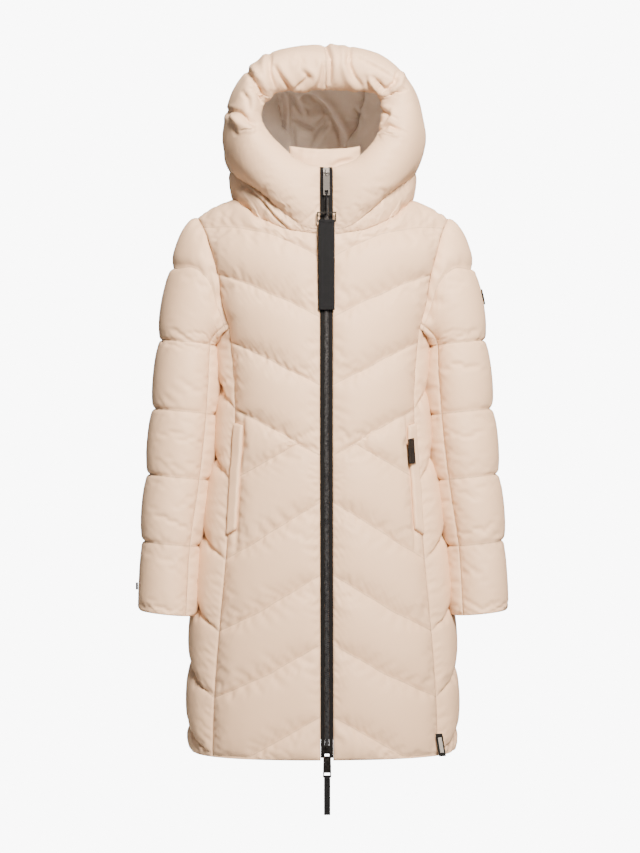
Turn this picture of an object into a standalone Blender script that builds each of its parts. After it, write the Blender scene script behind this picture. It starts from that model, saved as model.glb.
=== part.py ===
"""Long hooded puffer coat, worn shape, no wearer. Metres, +Z up, +X the wearer's left, -Y the front.

The origin is the middle of the neck base. Every cloth piece is a wall: a grid of points on the coat's own
surface, pushed out by the quilt's loft and in by the wall's thickness. Neighbouring pieces share the points
of their seam, and each is drawn back from it by half of its gap.
"""

import math

import bpy
import numpy as np

# Driving sizes
HEM_LEVEL = -0.877
ZIP_HALF_WIDTH = 0.010          # from the zip's middle to a front's edge
TORSO_POWER = 2.4               # superellipse power of the coat's rings
SHOULDER_ROUND = 0.10           # how far below the shoulder ridge the chest reaches its full depth
CORNER_LEVEL = -0.205           # where armhole, front and side panel meet
WALL = 0.003
SEAM_GAP = 0.0006
SLEEVE_GAP = 0.0018             # wider, because the armhole's points and the sleeve's don't match
LIFT = 0.0005                   # clearance of what lies on a panel
LOFT_FRONT, LOFT_SIDE, LOFT_BACK = 0.009, 0.005, 0.009
LOFT_SLEEVE, LOFT_HOOD, LOFT_COLLAR = 0.005, 0.004, 0.005
FLAT_SHARE = 0.3                # of the loft, where a welt or an arm presses it
FULL_LOFT_BAND = 0.060          # a band at least this tall has its piece's whole loft
BAND_STEPS = (0.0, 0.22, 0.78, 1.0)   # rows of points across one quilted band
FRONT_COLUMNS = 8
NECK_COLUMNS = 5                # of those, the ones that end at the neckline
SIDE_COLUMNS = 3
SLEEVE_COLUMNS = 16
FRONT_SEAM_COLUMN, BACK_SEAM_COLUMN = 6, 10

# level, half width, front depth, back depth of the rings at seam height
TORSO = (
    (-0.90, 0.2070, 0.149, 0.150),
    (-0.80, 0.2060, 0.147, 0.148),
    (-0.715, 0.2030, 0.144, 0.145),
    (-0.617, 0.1965, 0.140, 0.140),
    (-0.50, 0.1820, 0.134, 0.132),
    (-0.39, 0.1640, 0.129, 0.116),
    (-0.30, 0.1580, 0.129, 0.110),
    (-0.22, 0.1610, 0.130, 0.114),
    (-0.16, 0.1760, 0.128, 0.116),
    (-0.10, 0.1950, 0.124, 0.114),
    (-0.03, 0.2110, 0.118, 0.108),
    (0.06, 0.2200, 0.112, 0.104),
)
# x, z of the shoulder ridge, from the neck out to the sleeve
RIDGE = ((0.0, 0.045), (0.10, 0.013), (0.14, -0.003), (0.1995, -0.027))
# z, x of the armhole on the front and on the back
ARMHOLE_FRONT = ((-0.205, 0.1500), (-0.160, 0.1620), (-0.127, 0.1665), (-0.097, 0.1740), (-0.057, 0.1860),
                 (-0.027, 0.1995))
ARMHOLE_BACK = ((-0.205, 0.1500), (-0.160, 0.1640), (-0.110, 0.1720), (-0.057, 0.1860), (-0.027, 0.1995))
# z, x of the seam between front and side panel, and between back and side panel
PRINCESS = ((-0.90, 0.1770), (-0.78, 0.1735), (-0.68, 0.1660), (-0.57, 0.1560), (-0.45, 0.1475),
            (-0.35, 0.1410), (-0.28, 0.1425), (-0.205, 0.1500))
BACK_SEAM = ((-0.90, 0.1600), (-0.68, 0.1560), (-0.45, 0.1400), (-0.35, 0.1340), (-0.28, 0.1360),
             (-0.205, 0.1500))
# x, z of the neckline on the front, and x, z on the back
NECK_FRONT = ((0.010, -0.061), (0.036, -0.057), (0.061, -0.0525), (0.086, -0.042), (0.110, -0.028),
              (0.140, -0.003))
NECK_BACK = ((0.140, -0.003), (0.112, 0.000), (0.084, 0.003), (0.056, 0.006), (0.028, 0.008), (0.0, 0.008))
# quilt lines of a front: name, level at the zip, level at the outer edge
FRONT_LINES = (
    ("yoke", -0.096, -0.045),
    ("chest", -0.190, -0.120),
    ("bust", -0.295, CORNER_LEVEL),
    ("waist", -0.404, -0.3315),
    ("pocket", -0.412, -0.445),
    ("hip", -0.477, -0.568),
    ("thigh", -0.590, -0.680),
    ("knee", -0.698, -0.784),
    ("low", -0.809, -0.864),
)
POCKET_LINE_START = 0.25        # share of the front's width where the pocket line leaves the waist line
POCKET_LINE_DROP = 0.008
# quilt lines of the side panel: name of the front line that it meets, level at the back seam
BACK_LINES = (("waist", -0.229), ("pocket", -0.340), ("hip", -0.463), ("thigh", -0.575), ("knee", -0.679),
              ("low", -0.790))
# quilt lines of the back: level in the middle, level at the outer edge
BACK_MIDDLE = ((-0.105, -0.050), (-0.205, -0.120), (-0.300, -0.229), (-0.412, -0.340), (-0.535, -0.463),
               (-0.647, -0.575), (-0.751, -0.679), (-0.845, -0.790))
UNDERARM_DIP = 0.009

# sleeve rings at the quilt lines: level and x, y of the centre, half width, half depth
SLEEVE = (
    (-0.2270, 0.2120, 0.000, 0.0445, 0.068),
    (-0.3360, 0.2200, -0.004, 0.0475, 0.067),
    (-0.4400, 0.2300, -0.014, 0.0460, 0.063),
    (-0.5450, 0.2420, -0.026, 0.0420, 0.058),
    (-0.6550, 0.2480, -0.038, 0.0420, 0.055),
)
SLEEVE_TILT = 0.10              # drop of a sleeve ring towards the body, per metre across
CAP_LINE_LEVEL = -0.112         # the quilt line that crosses the sleeve's head

# hood: the rings of the padded band, from the zip round to the middle of the top. Columns are x, y, z of the
# opening's edge, of the crest, of the widest point and of the band's outer seam.
HOOD_BAND = (
    ((0.010, -0.121, 0.043), (0.010, -0.126, 0.010), (0.010, -0.126, -0.025), (0.010, -0.1225, -0.053)),
    ((0.040, -0.118, 0.053), (0.052, -0.136, 0.018), (0.048, -0.134, -0.018), (0.037, -0.124, -0.0475)),
    ((0.062, -0.116, 0.070), (0.084, -0.137, 0.044), (0.088, -0.129, 0.008), (0.069, -0.116, -0.024)),
    ((0.080, -0.112, 0.092), (0.110, -0.131, 0.076), (0.126, -0.106, 0.045), (0.103, -0.095, 0.008)),
    ((0.087, -0.108, 0.116), (0.121, -0.126, 0.107), (0.151, -0.075, 0.088), (0.143, -0.040, 0.042)),
    ((0.090, -0.103, 0.146), (0.122, -0.120, 0.146), (0.150, -0.062, 0.122), (0.148, -0.012, 0.100)),
    ((0.078, -0.100, 0.163), (0.103, -0.118, 0.188), (0.133, -0.060, 0.176), (0.136, -0.004, 0.168)),
    ((0.045, -0.098, 0.168), (0.057, -0.118, 0.211), (0.084, -0.060, 0.224), (0.086, 0.002, 0.222)),
    ((0.000, -0.097, 0.169), (0.000, -0.117, 0.213), (0.000, -0.055, 0.241), (0.000, 0.004, 0.243)),
)
OPENING_MIDDLE = (0.0, 0.108)   # x, z
LIP_DEPTH, LIP_SPREAD = 0.024, 0.007
BAND_BEHIND = 0.060             # how far behind its middle the band's inside is
BAND_RINGS = 2 * (len(HOOD_BAND) - 1)
SIDE_SEAM_RING = 8              # band ring at the notch over the shoulder
GUSSET_RING = 15                # band ring at the edge of the hood's middle panel
HOOD_MIDDLE = np.array((0.0, 0.0, 0.095))
HOOD_HALF = (0.149, 0.150, 0.148, 0.140)   # half width, depth to the back, height, depth below the middle
HOOD_POWER = 2.3
# x, y, z of the collar's upper edge behind the notch, to the middle of the back
COLLAR_TOP_BACK = ((0.148, 0.002, 0.047), (0.139, 0.056, 0.054), (0.116, 0.098, 0.061), (0.082, 0.126, 0.066),
                   (0.042, 0.139, 0.070), (0.0, 0.143, 0.071))
COLLAR_STEPS = (0.0, 0.3, 0.7, 1.0)   # rows of points up the collar
CORNER_STEP = 0.2               # how near its pointed corners the hood's side panel starts, in edge steps
LINING_INSET = 0.020
LINING_WALL = 0.002
NECK_INSET = 0.013
LINING_GAP = 0.0024
LINING_STEPS, LINING_UPPER_STEPS, LINING_LOWER_STEPS = 4, 6, 3
LINING_FLAT = 0.6               # how far the lining's lower end leaves the round shell for a line
LINING_BACK_SEAM, LINING_BACK_MIDDLE = (0.28, 0.95, -0.10), (0.0, 1.0, -0.10)
LINING_CORNER_RING = 9.5        # band ring whose line across the lining ends at the back corner of the neck

# zip and pulls
CHAIN_HALF, TAPE_EDGE = 0.0030, 0.0097
CHAIN_FRONT, CHAIN_BACK, TAPE_HALF = 0.0016, 0.0010, 0.0004
ZIP_TOP, ZIP_BOTTOM = 0.0440, -0.873
SLIDER_LENGTH, SLIDER_WIDTH, SLIDER_PLATE = 0.0125, 0.0096, 0.0014
SLIDER_CLEAR = 0.0004
BRIDGE_RISE, BRIDGE_WIDTH, BRIDGE_BAR = 0.0042, 0.0020, 0.0013
PIN_SIZE = 0.0012               # the pull tab's bar, under the bridge
PIN_UP = 0.0043                 # the pin's height over the slider's lower end
POST_SIZE, POST_HALF = 0.0020, 0.0015
BRIDGE_LOW, BRIDGE_HIGH = 0.0020, 0.0105
TOP_SLIDER_LOW, BOTTOM_SLIDER_LOW = 0.0300, -0.8665
ZIP_ROWS, ZIP_TOP_ROWS = 20, 13
COLLAR_FOOT = -0.070
TOP_TAB_LENGTH, TOP_TAB_WIDTH, TAB_THICK = 0.0370, 0.0100, 0.0018
BOTTOM_TAB_LENGTH, BOTTOM_TAB_WIDTH = 0.0410, 0.0126
TAB_FRAME = 0.0020
UPPER_WINDOW, LOWER_WINDOW, LOWER_BAR = 0.0055, 0.0060, 0.0018
TOP_TAB_LEAN = math.radians(8.5)
STRAP_WIDTH, STRAP_LENGTH, STRAP_THICK = 0.0255, 0.1375, 0.0026
STRAP_LEAN = math.radians(0.8)
RING_WIDTH, RING_HEIGHT, RING_WIRE = 0.0300, 0.0155, 0.0018
BAR_CLEAR = 0.0003
ROUND_BAR = 0.71                # radius that clears a square bar, over the bar's thickness
TUNNEL_SIDES, LOOP_SIDES, LOOP_PINCH = 12, 8, 1.6
CUT_PAST = 0.001                # how far a cutter runs past what it cuts
JOIN_IN, JOIN_SLIM = 0.0002, 0.0001   # how far joined boxes run into each other, and are slimmer
CORD_RADIUS, CORD_TURN = 0.0010, 0.0027
CORD_DROP, CORD_STEP_OUT = 0.0280, 0.0020
SMALL_STRAP_WIDTH, SMALL_STRAP_LENGTH, SMALL_STRAP_THICK = 0.0090, 0.0590, 0.0020
SMALL_LOOP_WIDTH, SMALL_LOOP_LENGTH = 0.0036, 0.0120

# welt, guard and labels
PATCH_POINTS = 3                # points each way across a flat patch
WELT_THICK, WELT_DRAW = 0.0040, 0.03
BADGE_ROWS, BADGE_COLUMNS, BADGE_LIFT, BADGE_THICK = (4.14, 4.52), (5.5, 6.5), 0.0010, 0.0015
FLAG_ACROSS, FLAG_DOWN, FLAG_LIFT, FLAG_THICK = (-0.28, 0.07, 0.42), (0.11, 0.23, 0.34), 0.0064, 0.0010
HEM_LOOP_WIDTH, HEM_LOOP_UP, HEM_LOOP_DOWN, HEM_LOOP_BACK = 0.0130, 0.030, 0.0045, 0.020
HEM_LOOP_OUT, HEM_LOOP_IN, HEM_LOOP_THICK = 0.0085, 0.0032, 0.0010
ANGLE_STEP = 0.05               # round the hem ring, to read its direction
CUFF_FLAG_LEVELS, CUFF_FLAG_OUT, CUFF_FLAG_HALF, CUFF_FLAG_LIFT = (-0.618, -0.607), 0.0035, 0.006, 0.0060
CUFF_FLAG_RING = 3.6            # fractional row of SLEEVE at the tab
GUARD_TOP, GUARD_TALL, GUARD_HALF = 0.0755, 0.085, 0.050
GUARD_FRONT, GUARD_CURVE, GUARD_THICK = -0.087, 4.0, 0.004


# Curves and surfaces

def smooth(table, at, column=1):
    """Reads a column of a table at a value of its first column, on a smooth curve through the rows."""
    keys = np.array([row[0] for row in table], float)
    values = np.array([row[column] for row in table], float)
    if keys[0] > keys[-1]:
        keys, values = keys[::-1], values[::-1]
    slopes = np.gradient(values, keys)
    i = int(np.clip(np.searchsorted(keys, at) - 1, 0, len(keys) - 2))
    step = keys[i + 1] - keys[i]
    t = min(max((at - keys[i]) / step, 0.0), 1.0)
    return hermite(values[i], values[i + 1], slopes[i] * step, slopes[i + 1] * step, t)


def hermite(start, end, start_slope, end_slope, t):
    return ((1 + 2 * t) * (1 - t) ** 2 * start + t * (1 - t) ** 2 * start_slope
            + t * t * (3 - 2 * t) * end - t * t * (1 - t) * end_slope)


def through(points, at):
    """A point on the smooth curve through a list of points, at a fractional index."""
    points = np.asarray(points, float)
    i = int(min(max(math.floor(at), 0), len(points) - 2))
    before, after = points[max(i - 1, 0)], points[min(i + 2, len(points) - 1)]
    return hermite(points[i], points[i + 1], (points[i + 1] - before) / 2, (after - points[i]) / 2, at - i)


def ridge_level(x):
    xs, zs = zip(*RIDGE)
    return float(np.interp(abs(x), xs, zs))


def torso_depth(x, z, back):
    """Distance from the side plane to the coat's front or back at seam height."""
    half = smooth(TORSO, z, 1)
    depth = smooth(TORSO, z, 3 if back else 2)
    across = max(1 - (abs(x) / half) ** TORSO_POWER, 0.0) ** (1 / TORSO_POWER)
    below = min(max(ridge_level(x) - z, 0.0), SHOULDER_ROUND)
    return depth * across * math.sqrt(max(1 - (1 - below / SHOULDER_ROUND) ** 2, 0.0))


def on_front(x, z):
    return np.array((x, -torso_depth(x, z, False), z))


def on_back(x, z):
    return np.array((x, torso_depth(x, z, True), z))


def ring_angle(x, z, back):
    """Angle round the ring at level z, from the wearer's side, where the ring passes x."""
    share = min(abs(x) / smooth(TORSO, z, 1), 1.0)
    angle = math.acos(share ** (TORSO_POWER / 2))
    return angle if back else -angle


def on_ring(angle, z):
    depth = smooth(TORSO, z, 3 if angle > 0 else 2)
    x = smooth(TORSO, z, 1) * math.cos(angle) ** (2 / TORSO_POWER)
    y = depth * abs(math.sin(angle)) ** (2 / TORSO_POWER)
    return np.array((x, math.copysign(y, angle), z))


def outer_edge(z, armhole, seam):
    return smooth(armhole, z) if z > CORNER_LEVEL else smooth(seam, z)


def hood_radius(direction, inset=0.0):
    """Distance from the hood's middle to its shell."""
    x, y, z = direction
    half, back, up, down = (size - inset for size in HOOD_HALF)
    total = ((abs(x) / half) ** HOOD_POWER + (abs(y) / back) ** HOOD_POWER
             + (abs(z) / (up if z > 0 else down)) ** HOOD_POWER)
    return total ** (-1 / HOOD_POWER)


def over_hood(start, end, share, inset=0.0):
    """A point between two others, carried over the hood's round shell."""
    a, b = start - HOOD_MIDDLE, end - HOOD_MIDDLE
    length_a, length_b = np.linalg.norm(a), np.linalg.norm(b)
    angle = math.acos(float(np.clip(a @ b / (length_a * length_b), -1, 1)))
    turn = math.sin((1 - share) * angle) * a / length_a + math.sin(share * angle) * b / length_b
    turn /= math.sin(angle)
    fit_a = length_a / hood_radius(a / length_a, inset)
    fit_b = length_b / hood_radius(b / length_b, inset)
    return HOOD_MIDDLE + turn * hood_radius(turn, inset) * ((1 - share) * fit_a + share * fit_b)


# Cloth pieces

class Piece:
    """A cloth piece as a grid of seam-height points, with the loft of the quilt at each point."""

    def __init__(self, name, grid, loft, outside, material, wall=WALL, faces_in=False):
        self.name, self.material, self.wall, self.gap = name, material, wall, SEAM_GAP
        self.grid = np.asarray(grid, float)
        self.loft = np.asarray(loft, float)
        across = np.gradient(self.grid, axis=1)
        along = np.gradient(self.grid, axis=0)
        normals = np.cross(along, across)
        normals /= np.linalg.norm(normals, axis=2)[..., None]
        away = self.grid - np.asarray(outside, float)
        self.flipped = (float((normals * away).sum()) < 0) != faces_in
        self.normals = -normals if self.flipped else normals

    def mirrored(self, name):
        other = Piece.__new__(Piece)
        other.name, other.material, other.wall, other.gap = name, self.material, self.wall, self.gap
        mirror = np.array((-1.0, 1.0, 1.0))
        other.grid, other.normals = self.grid * mirror, self.normals * mirror
        other.loft, other.flipped = self.loft, not self.flipped
        return other

    def drawn_back(self):
        """The grid with its border moved in by half of the seam's gap."""
        grid = self.grid.copy()
        for axis in (0, 1):
            turned = np.moveaxis(self.grid, axis, 0)
            moved = np.moveaxis(grid, axis, 0)
            for edge, inner in ((0, 1), (-1, -2)):
                step = turned[inner] - turned[edge]
                length = np.linalg.norm(step, axis=1)[:, None]
                moved[edge] += step / length * self.gap / 2
        return grid

    def outer(self):
        return self.drawn_back() + self.normals * self.loft[..., None]

    def build(self):
        inner = self.drawn_back() - self.normals * self.wall
        return wall_mesh(self.name, self.outer(), inner, self.flipped, self.material)


def share_seam_normals(pieces):
    """Gives points that lie on one seam one direction, so that both pieces' walls meet face to face."""
    together = {}
    for piece in pieces:
        for i, j in np.ndindex(piece.grid.shape[:2]):
            key = tuple(np.round(piece.grid[i, j] / 0.0002).astype(int))
            together.setdefault(key, []).append((piece, i, j))
    for places in together.values():
        total = sum(piece.normals[i, j] for piece, i, j in places)
        total /= np.linalg.norm(total)
        for piece, i, j in places:
            piece.normals[i, j] = total


def wall_mesh(name, outer, inner, flipped, material):
    rows, columns = outer.shape[:2]
    count = rows * columns
    index = np.arange(count).reshape(rows, columns)
    faces = []
    for i in range(rows - 1):
        for j in range(columns - 1):
            quad = (index[i, j], index[i + 1, j], index[i + 1, j + 1], index[i, j + 1])
            faces.append(quad)
            faces.append(tuple(v + count for v in reversed(quad)))
    border = ([(0, j) for j in range(columns - 1)] + [(i, columns - 1) for i in range(rows - 1)]
              + [(rows - 1, j) for j in range(columns - 1, 0, -1)] + [(i, 0) for i in range(rows - 1, 0, -1)])
    loop = [index[i, j] for i, j in border]
    points = np.concatenate([outer.reshape(-1, 3), inner.reshape(-1, 3)])
    for a, b in zip(loop, loop[1:] + loop[:1]):
        # both pieces of a seam split its wall along the shorter diagonal, so their faces match
        falling = np.linalg.norm(points[a] - points[b + count])
        if falling < np.linalg.norm(points[b] - points[a + count]):
            faces += [(a, b, b + count), (a, b + count, a + count)]
        else:
            faces += [(a, b, a + count), (b, b + count, a + count)]
    if flipped:
        faces = [tuple(reversed(face)) for face in faces]
    return mesh_object(name, points, faces, material)


def mesh_object(name, points, faces, material, parent=None):
    mesh = bpy.data.meshes.new(name)
    origin = np.zeros(3) if parent is None else np.array(parent.location)
    mesh.from_pydata([tuple(float(v) for v in point - origin) for point in np.asarray(points, float)], [],
                     [tuple(int(v) for v in face) for face in faces])
    mesh.validate()
    mesh.materials.append(material)
    obj = bpy.data.objects.new(name, mesh)
    bpy.context.scene.collection.objects.link(obj)
    obj.parent = parent
    return obj


def band_rows(lines):
    """Rows of a quilted piece: the rows at BAND_STEPS in each band, and their loft share."""
    rows = []
    for i in range(len(lines) - 1):
        for step in BAND_STEPS[:-1]:
            rows.append((i + step, 0.0 if step == 0 else 1.0))
    rows.append((float(len(lines) - 1), 0.0))
    return rows


def mixed(lines, at):
    """The row of points at a fractional line number, between two lines of points."""
    i = min(int(at), len(lines) - 2)
    return (1 - (at - i)) * lines[i] + (at - i) * lines[i + 1]


def loft_grid(rows, grid, height):
    """The quilt's loft at each point: nothing on the lines and edges, and less where a band is narrow."""
    grid = np.asarray(grid)
    per_band = len(BAND_STEPS) - 1
    loft = np.zeros(grid.shape[:2])
    for i, (at, share) in enumerate(rows):
        first = min(int(at), len(rows) // per_band - 1) * per_band
        tall = np.linalg.norm(grid[first + per_band] - grid[first], axis=1)
        loft[i] = share * height * np.minimum(1.0, tall / FULL_LOFT_BAND)
    loft[:, 0] = loft[:, -1] = 0
    return loft


def front_line(middle, outer, pocket=False):
    """x, z along one quilt line of a front."""
    edge = outer_edge(outer, ARMHOLE_FRONT, PRINCESS)
    shares = np.linspace(0, 1, FRONT_COLUMNS + 1)
    levels = middle + (outer - middle) * shares
    if pocket:
        waist = dict((name, (a, b)) for name, a, b in FRONT_LINES)["waist"]
        on_waist = waist[0] + (waist[1] - waist[0]) * shares
        start = waist[0] + (waist[1] - waist[0]) * POCKET_LINE_START
        levels = start + (outer - start) * (shares - POCKET_LINE_START) / (1 - POCKET_LINE_START)
        levels = np.minimum(levels, on_waist - POCKET_LINE_DROP)
    return np.array([(ZIP_HALF_WIDTH + (edge - ZIP_HALF_WIDTH) * s, z) for s, z in zip(shares, levels)])


def shoulder_line(neck):
    """x, z along a panel's top: the neckline, then the shoulder seam."""
    shares = np.linspace(0, 1, FRONT_COLUMNS - NECK_COLUMNS + 1)[1:]
    end, tip = np.array(neck[-1]), np.array(RIDGE[-1])
    shoulder = [end + (tip - end) * share for share in shares]
    return np.array(list(neck) + shoulder)


def front_lines():
    lines = [shoulder_line(NECK_FRONT)]
    lines += [front_line(middle, outer, name == "pocket") for name, middle, outer in FRONT_LINES]
    lines.append(front_line(HEM_LEVEL, HEM_LEVEL))
    return lines


def front_piece(material):
    lines = front_lines()
    rows = band_rows(lines)
    grid = []
    for at, _ in rows:
        line = mixed(lines, at)
        if at >= 1:
            edge = outer_edge(line[-1, 1], ARMHOLE_FRONT, PRINCESS)
            line[:, 0] = ZIP_HALF_WIDTH + (line[:, 0] - ZIP_HALF_WIDTH) * (
                (edge - ZIP_HALF_WIDTH) / (line[-1, 0] - ZIP_HALF_WIDTH))
        grid.append([on_front(x, z) for x, z in line])
    loft = loft_grid(rows, grid, LOFT_FRONT)
    names = ["top"] + [name for name, _, _ in FRONT_LINES]
    first, last = row_of(rows, names.index("waist") + BAND_STEPS[1]), row_of(rows, names.index("hip"))
    loft[first:last, -2] = FLAT_SHARE * LOFT_FRONT
    return Piece("front_left", grid, loft, (0, 0, -0.4), material), (first, last - 1)


def row_of(rows, at):
    return min(range(len(rows)), key=lambda i: abs(rows[i][0] - at))


def seam_point(z, seam, back):
    x = smooth(seam, z)
    return on_back(x, z) if back else on_front(x, z)


def side_piece(material):
    """The panel under the arm, from the front's outer seam round to the back's."""
    front = dict((name, outer) for name, _, outer in FRONT_LINES)
    ends = [(CORNER_LEVEL, CORNER_LEVEL)] + [(front[name], level) for name, level in BACK_LINES]
    ends.append((HEM_LEVEL, HEM_LEVEL))
    rows = band_rows(ends)
    grid, shares = [], np.linspace(0, 1, SIDE_COLUMNS + 1)
    for at, _ in rows:
        start, end = mixed(np.array(ends), at)
        dip = UNDERARM_DIP * max(1 - at, 0.0)
        row = []
        for share in shares:
            z = start + (end - start) * share - dip * math.sin(math.pi * share)
            first = ring_angle(smooth(PRINCESS, z), z, False)
            last = ring_angle(smooth(BACK_SEAM, z), z, True)
            row.append(on_ring(first + (last - first) * share, z))
        row[0], row[-1] = seam_point(start, PRINCESS, False), seam_point(end, BACK_SEAM, True)
        grid.append(row)
    loft = loft_grid(rows, grid, LOFT_SIDE)
    loft[:3] *= FLAT_SHARE
    return Piece("side_left", grid, loft, (0, 0, -0.5), material)


def back_piece(material):
    shares = np.linspace(0, 1, FRONT_COLUMNS + 1)
    lines = [shoulder_line(NECK_BACK[::-1])]
    for middle, outer in BACK_MIDDLE + ((HEM_LEVEL, HEM_LEVEL),):
        edge = outer_edge(outer, ARMHOLE_BACK, BACK_SEAM)
        lines.append(np.array([(edge * s, middle + (outer - middle) * s) for s in shares]))
    rows = band_rows(lines)
    grid = []
    for at, _ in rows:
        half = mixed(lines, at)
        edge = outer_edge(half[-1, 1], ARMHOLE_BACK, BACK_SEAM) if at >= 1 else half[-1, 0]
        half[:, 0] *= edge / half[-1, 0]
        right = [on_back(x, z) for x, z in half]
        left = [point * (-1, 1, 1) for point in right[:0:-1]]
        grid.append(left + right)
    loft = loft_grid(rows, grid, LOFT_BACK)
    return Piece("back", grid, loft, (0, 0, -0.4), material)


# Sleeves

def armhole_loop(front, side, back):
    """The panels' own armhole points: shoulder, front, under the arm, back, shoulder."""
    last = row_of(band_rows(front_lines()), 3.0)
    down = list(front.grid[: last + 1, -1])
    under = list(side.grid[0, 1:])
    level = [point for point in back.grid[:, -1] if point[2] > CORNER_LEVEL + 0.001]
    return np.array(down + under + level[::-1])


def along_loop(loop, share):
    lengths = np.concatenate([[0], np.cumsum(np.linalg.norm(np.diff(loop, axis=0), axis=1))])
    at = share * lengths[-1]
    return np.array([np.interp(at, lengths, loop[:, axis]) for axis in range(3)])


def sleeve_ring(at):
    """A ring of the sleeve at a fractional row of its table."""
    level, x, y, half, depth = through(SLEEVE, at)
    ring = []
    for j in range(SLEEVE_COLUMNS + 1):
        angle = 2 * math.pi * j / SLEEVE_COLUMNS
        side = half * math.cos(angle)
        ring.append((x + side, y - depth * math.sin(angle), level + SLEEVE_TILT * side))
    return np.array(ring)


def cap_line_share(head):
    """Share of the way down the sleeve's head, for each column, where the quilt line crosses it."""
    shares = []
    for start, end, out, down in head:
        tries = np.linspace(0.2, 0.6, 41)
        levels = [hermite(start[2], end[2], out[2], down[2], t) for t in tries]
        shares.append(tries[int(np.argmin(np.abs(np.array(levels) - CAP_LINE_LEVEL)))])
    return shares


def sleeve_grid(loop):
    ring = sleeve_ring(0)
    head = []
    for j in range(SLEEVE_COLUMNS + 1):
        start, end = along_loop(loop, j / SLEEVE_COLUMNS), ring[j]
        reach = np.linalg.norm(end - start)
        forward = start[1] / 0.09
        out = np.array((1.0, 0.3 * forward, -0.6))
        head.append((start, end, out * reach * 0.7, np.array((0.05, 0.0, -1.0)) * reach * 0.9))
    shares = cap_line_share(head)
    rows = band_rows(range(len(SLEEVE) + 2))
    grid = []
    for at, _ in rows:
        if at <= 2:
            line = [s * at if at <= 1 else s + (1 - s) * (at - 1) for s in shares]
            grid.append([hermite(*ends, t) for ends, t in zip(head, line)])
        else:
            grid.append(sleeve_ring(at - 2))
    return np.array(grid), rows


def sleeve_pieces(loop, material):
    grid, rows = sleeve_grid(loop)
    first, last = FRONT_SEAM_COLUMN, BACK_SEAM_COLUMN
    under = grid[:, first:last + 1]
    upper = np.concatenate([grid[:, last:], grid[:, 1:first + 1]], axis=1)
    axis_points = grid[:, :-1].mean(axis=1)[:, None, :]
    pieces = []
    for name, part in (("sleeve_left_upper", upper), ("sleeve_left_under", under)):
        loft = loft_grid(rows, part, LOFT_SLEEVE)
        if name.endswith("under"):
            loft *= FLAT_SHARE
        loft[0] = 0
        pieces.append(Piece(name, part, loft, axis_points, material))
        pieces[-1].gap = SLEEVE_GAP
    return pieces


# Hood and collar

def band_ring(at):
    """Edge, crest, widest point and seam of the band at a fractional row, with the inner side of its lip."""
    loops = [through([row[k] for row in HOOD_BAND], at) for k in range(4)]
    edge = loops[0]
    away = np.array((edge[0] - OPENING_MIDDLE[0], 0.0, edge[2] - OPENING_MIDDLE[1]))
    away /= np.linalg.norm(away)
    lip = edge + away * LIP_SPREAD + np.array((0.0, LIP_DEPTH, 0.0))
    return [lip] + loops


def band_piece(material):
    grid = []
    for i in range(BAND_RINGS + 1):
        points = band_ring(i / 2)
        steps = (0.0, 1.0, 1.5, 2.0, 2.6, 3.2, 4.0)
        grid.append([through(points, at) for at in steps])
    grid = np.array(grid)
    grid[0, :, 0] = ZIP_HALF_WIDTH
    grid[-1, :, 0] = 0.0
    loft = np.full(grid.shape[:2], LOFT_HOOD)
    loft[:, 0] = loft[:, -1] = 0
    loft[0] = loft[-1] = 0
    middle = grid.mean(axis=1)[:, None, :] + (0, BAND_BEHIND, 0)
    return Piece("hood_band_left", grid, loft, middle, material)


def collar_top(band):
    """The collar's upper edge: the band's lower seam, then the lower edge of the hood."""
    return list(band.grid[:SIDE_SEAM_RING + 1, -1]) + [np.array(point) for point in COLLAR_TOP_BACK]


def neckline(front, back):
    """The panels' neck points, from the zip to the middle of the back, with half steps under the band."""
    whole = list(front.grid[0, :NECK_COLUMNS])
    halves = [(a + b) / 2 for a, b in zip(whole, whole[1:])]
    front_part = [whole[0]]
    for half, point in zip(halves, whole[1:]):
        front_part += [half, point]
    back_part = list(back.grid[0, FRONT_COLUMNS:FRONT_COLUMNS + NECK_COLUMNS])
    return front_part + [front.grid[0, NECK_COLUMNS]] + back_part[::-1]


def collar_piece(lower, upper, material):
    grid = np.array([[(1 - share) * a + share * b for a, b in zip(lower, upper)] for share in COLLAR_STEPS])
    loft = np.zeros(grid.shape[:2])
    height = np.linalg.norm(grid[-1] - grid[0], axis=1)
    loft[1:-1] = np.minimum(LOFT_COLLAR, 0.15 * height)
    loft[:, 0] = loft[:, -1] = 0
    return Piece("collar_left", grid, loft, (0, 0, 0.0), material)


def gusset_edge(band, top):
    """The seam between the hood's side and its middle panel, from the band over the top to the collar."""
    start, end = band.grid[GUSSET_RING, -1], top[-2]
    count = GUSSET_RING - SIDE_SEAM_RING + 5
    return [over_hood(start, end, i / count) for i in range(count + 1)]


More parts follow.
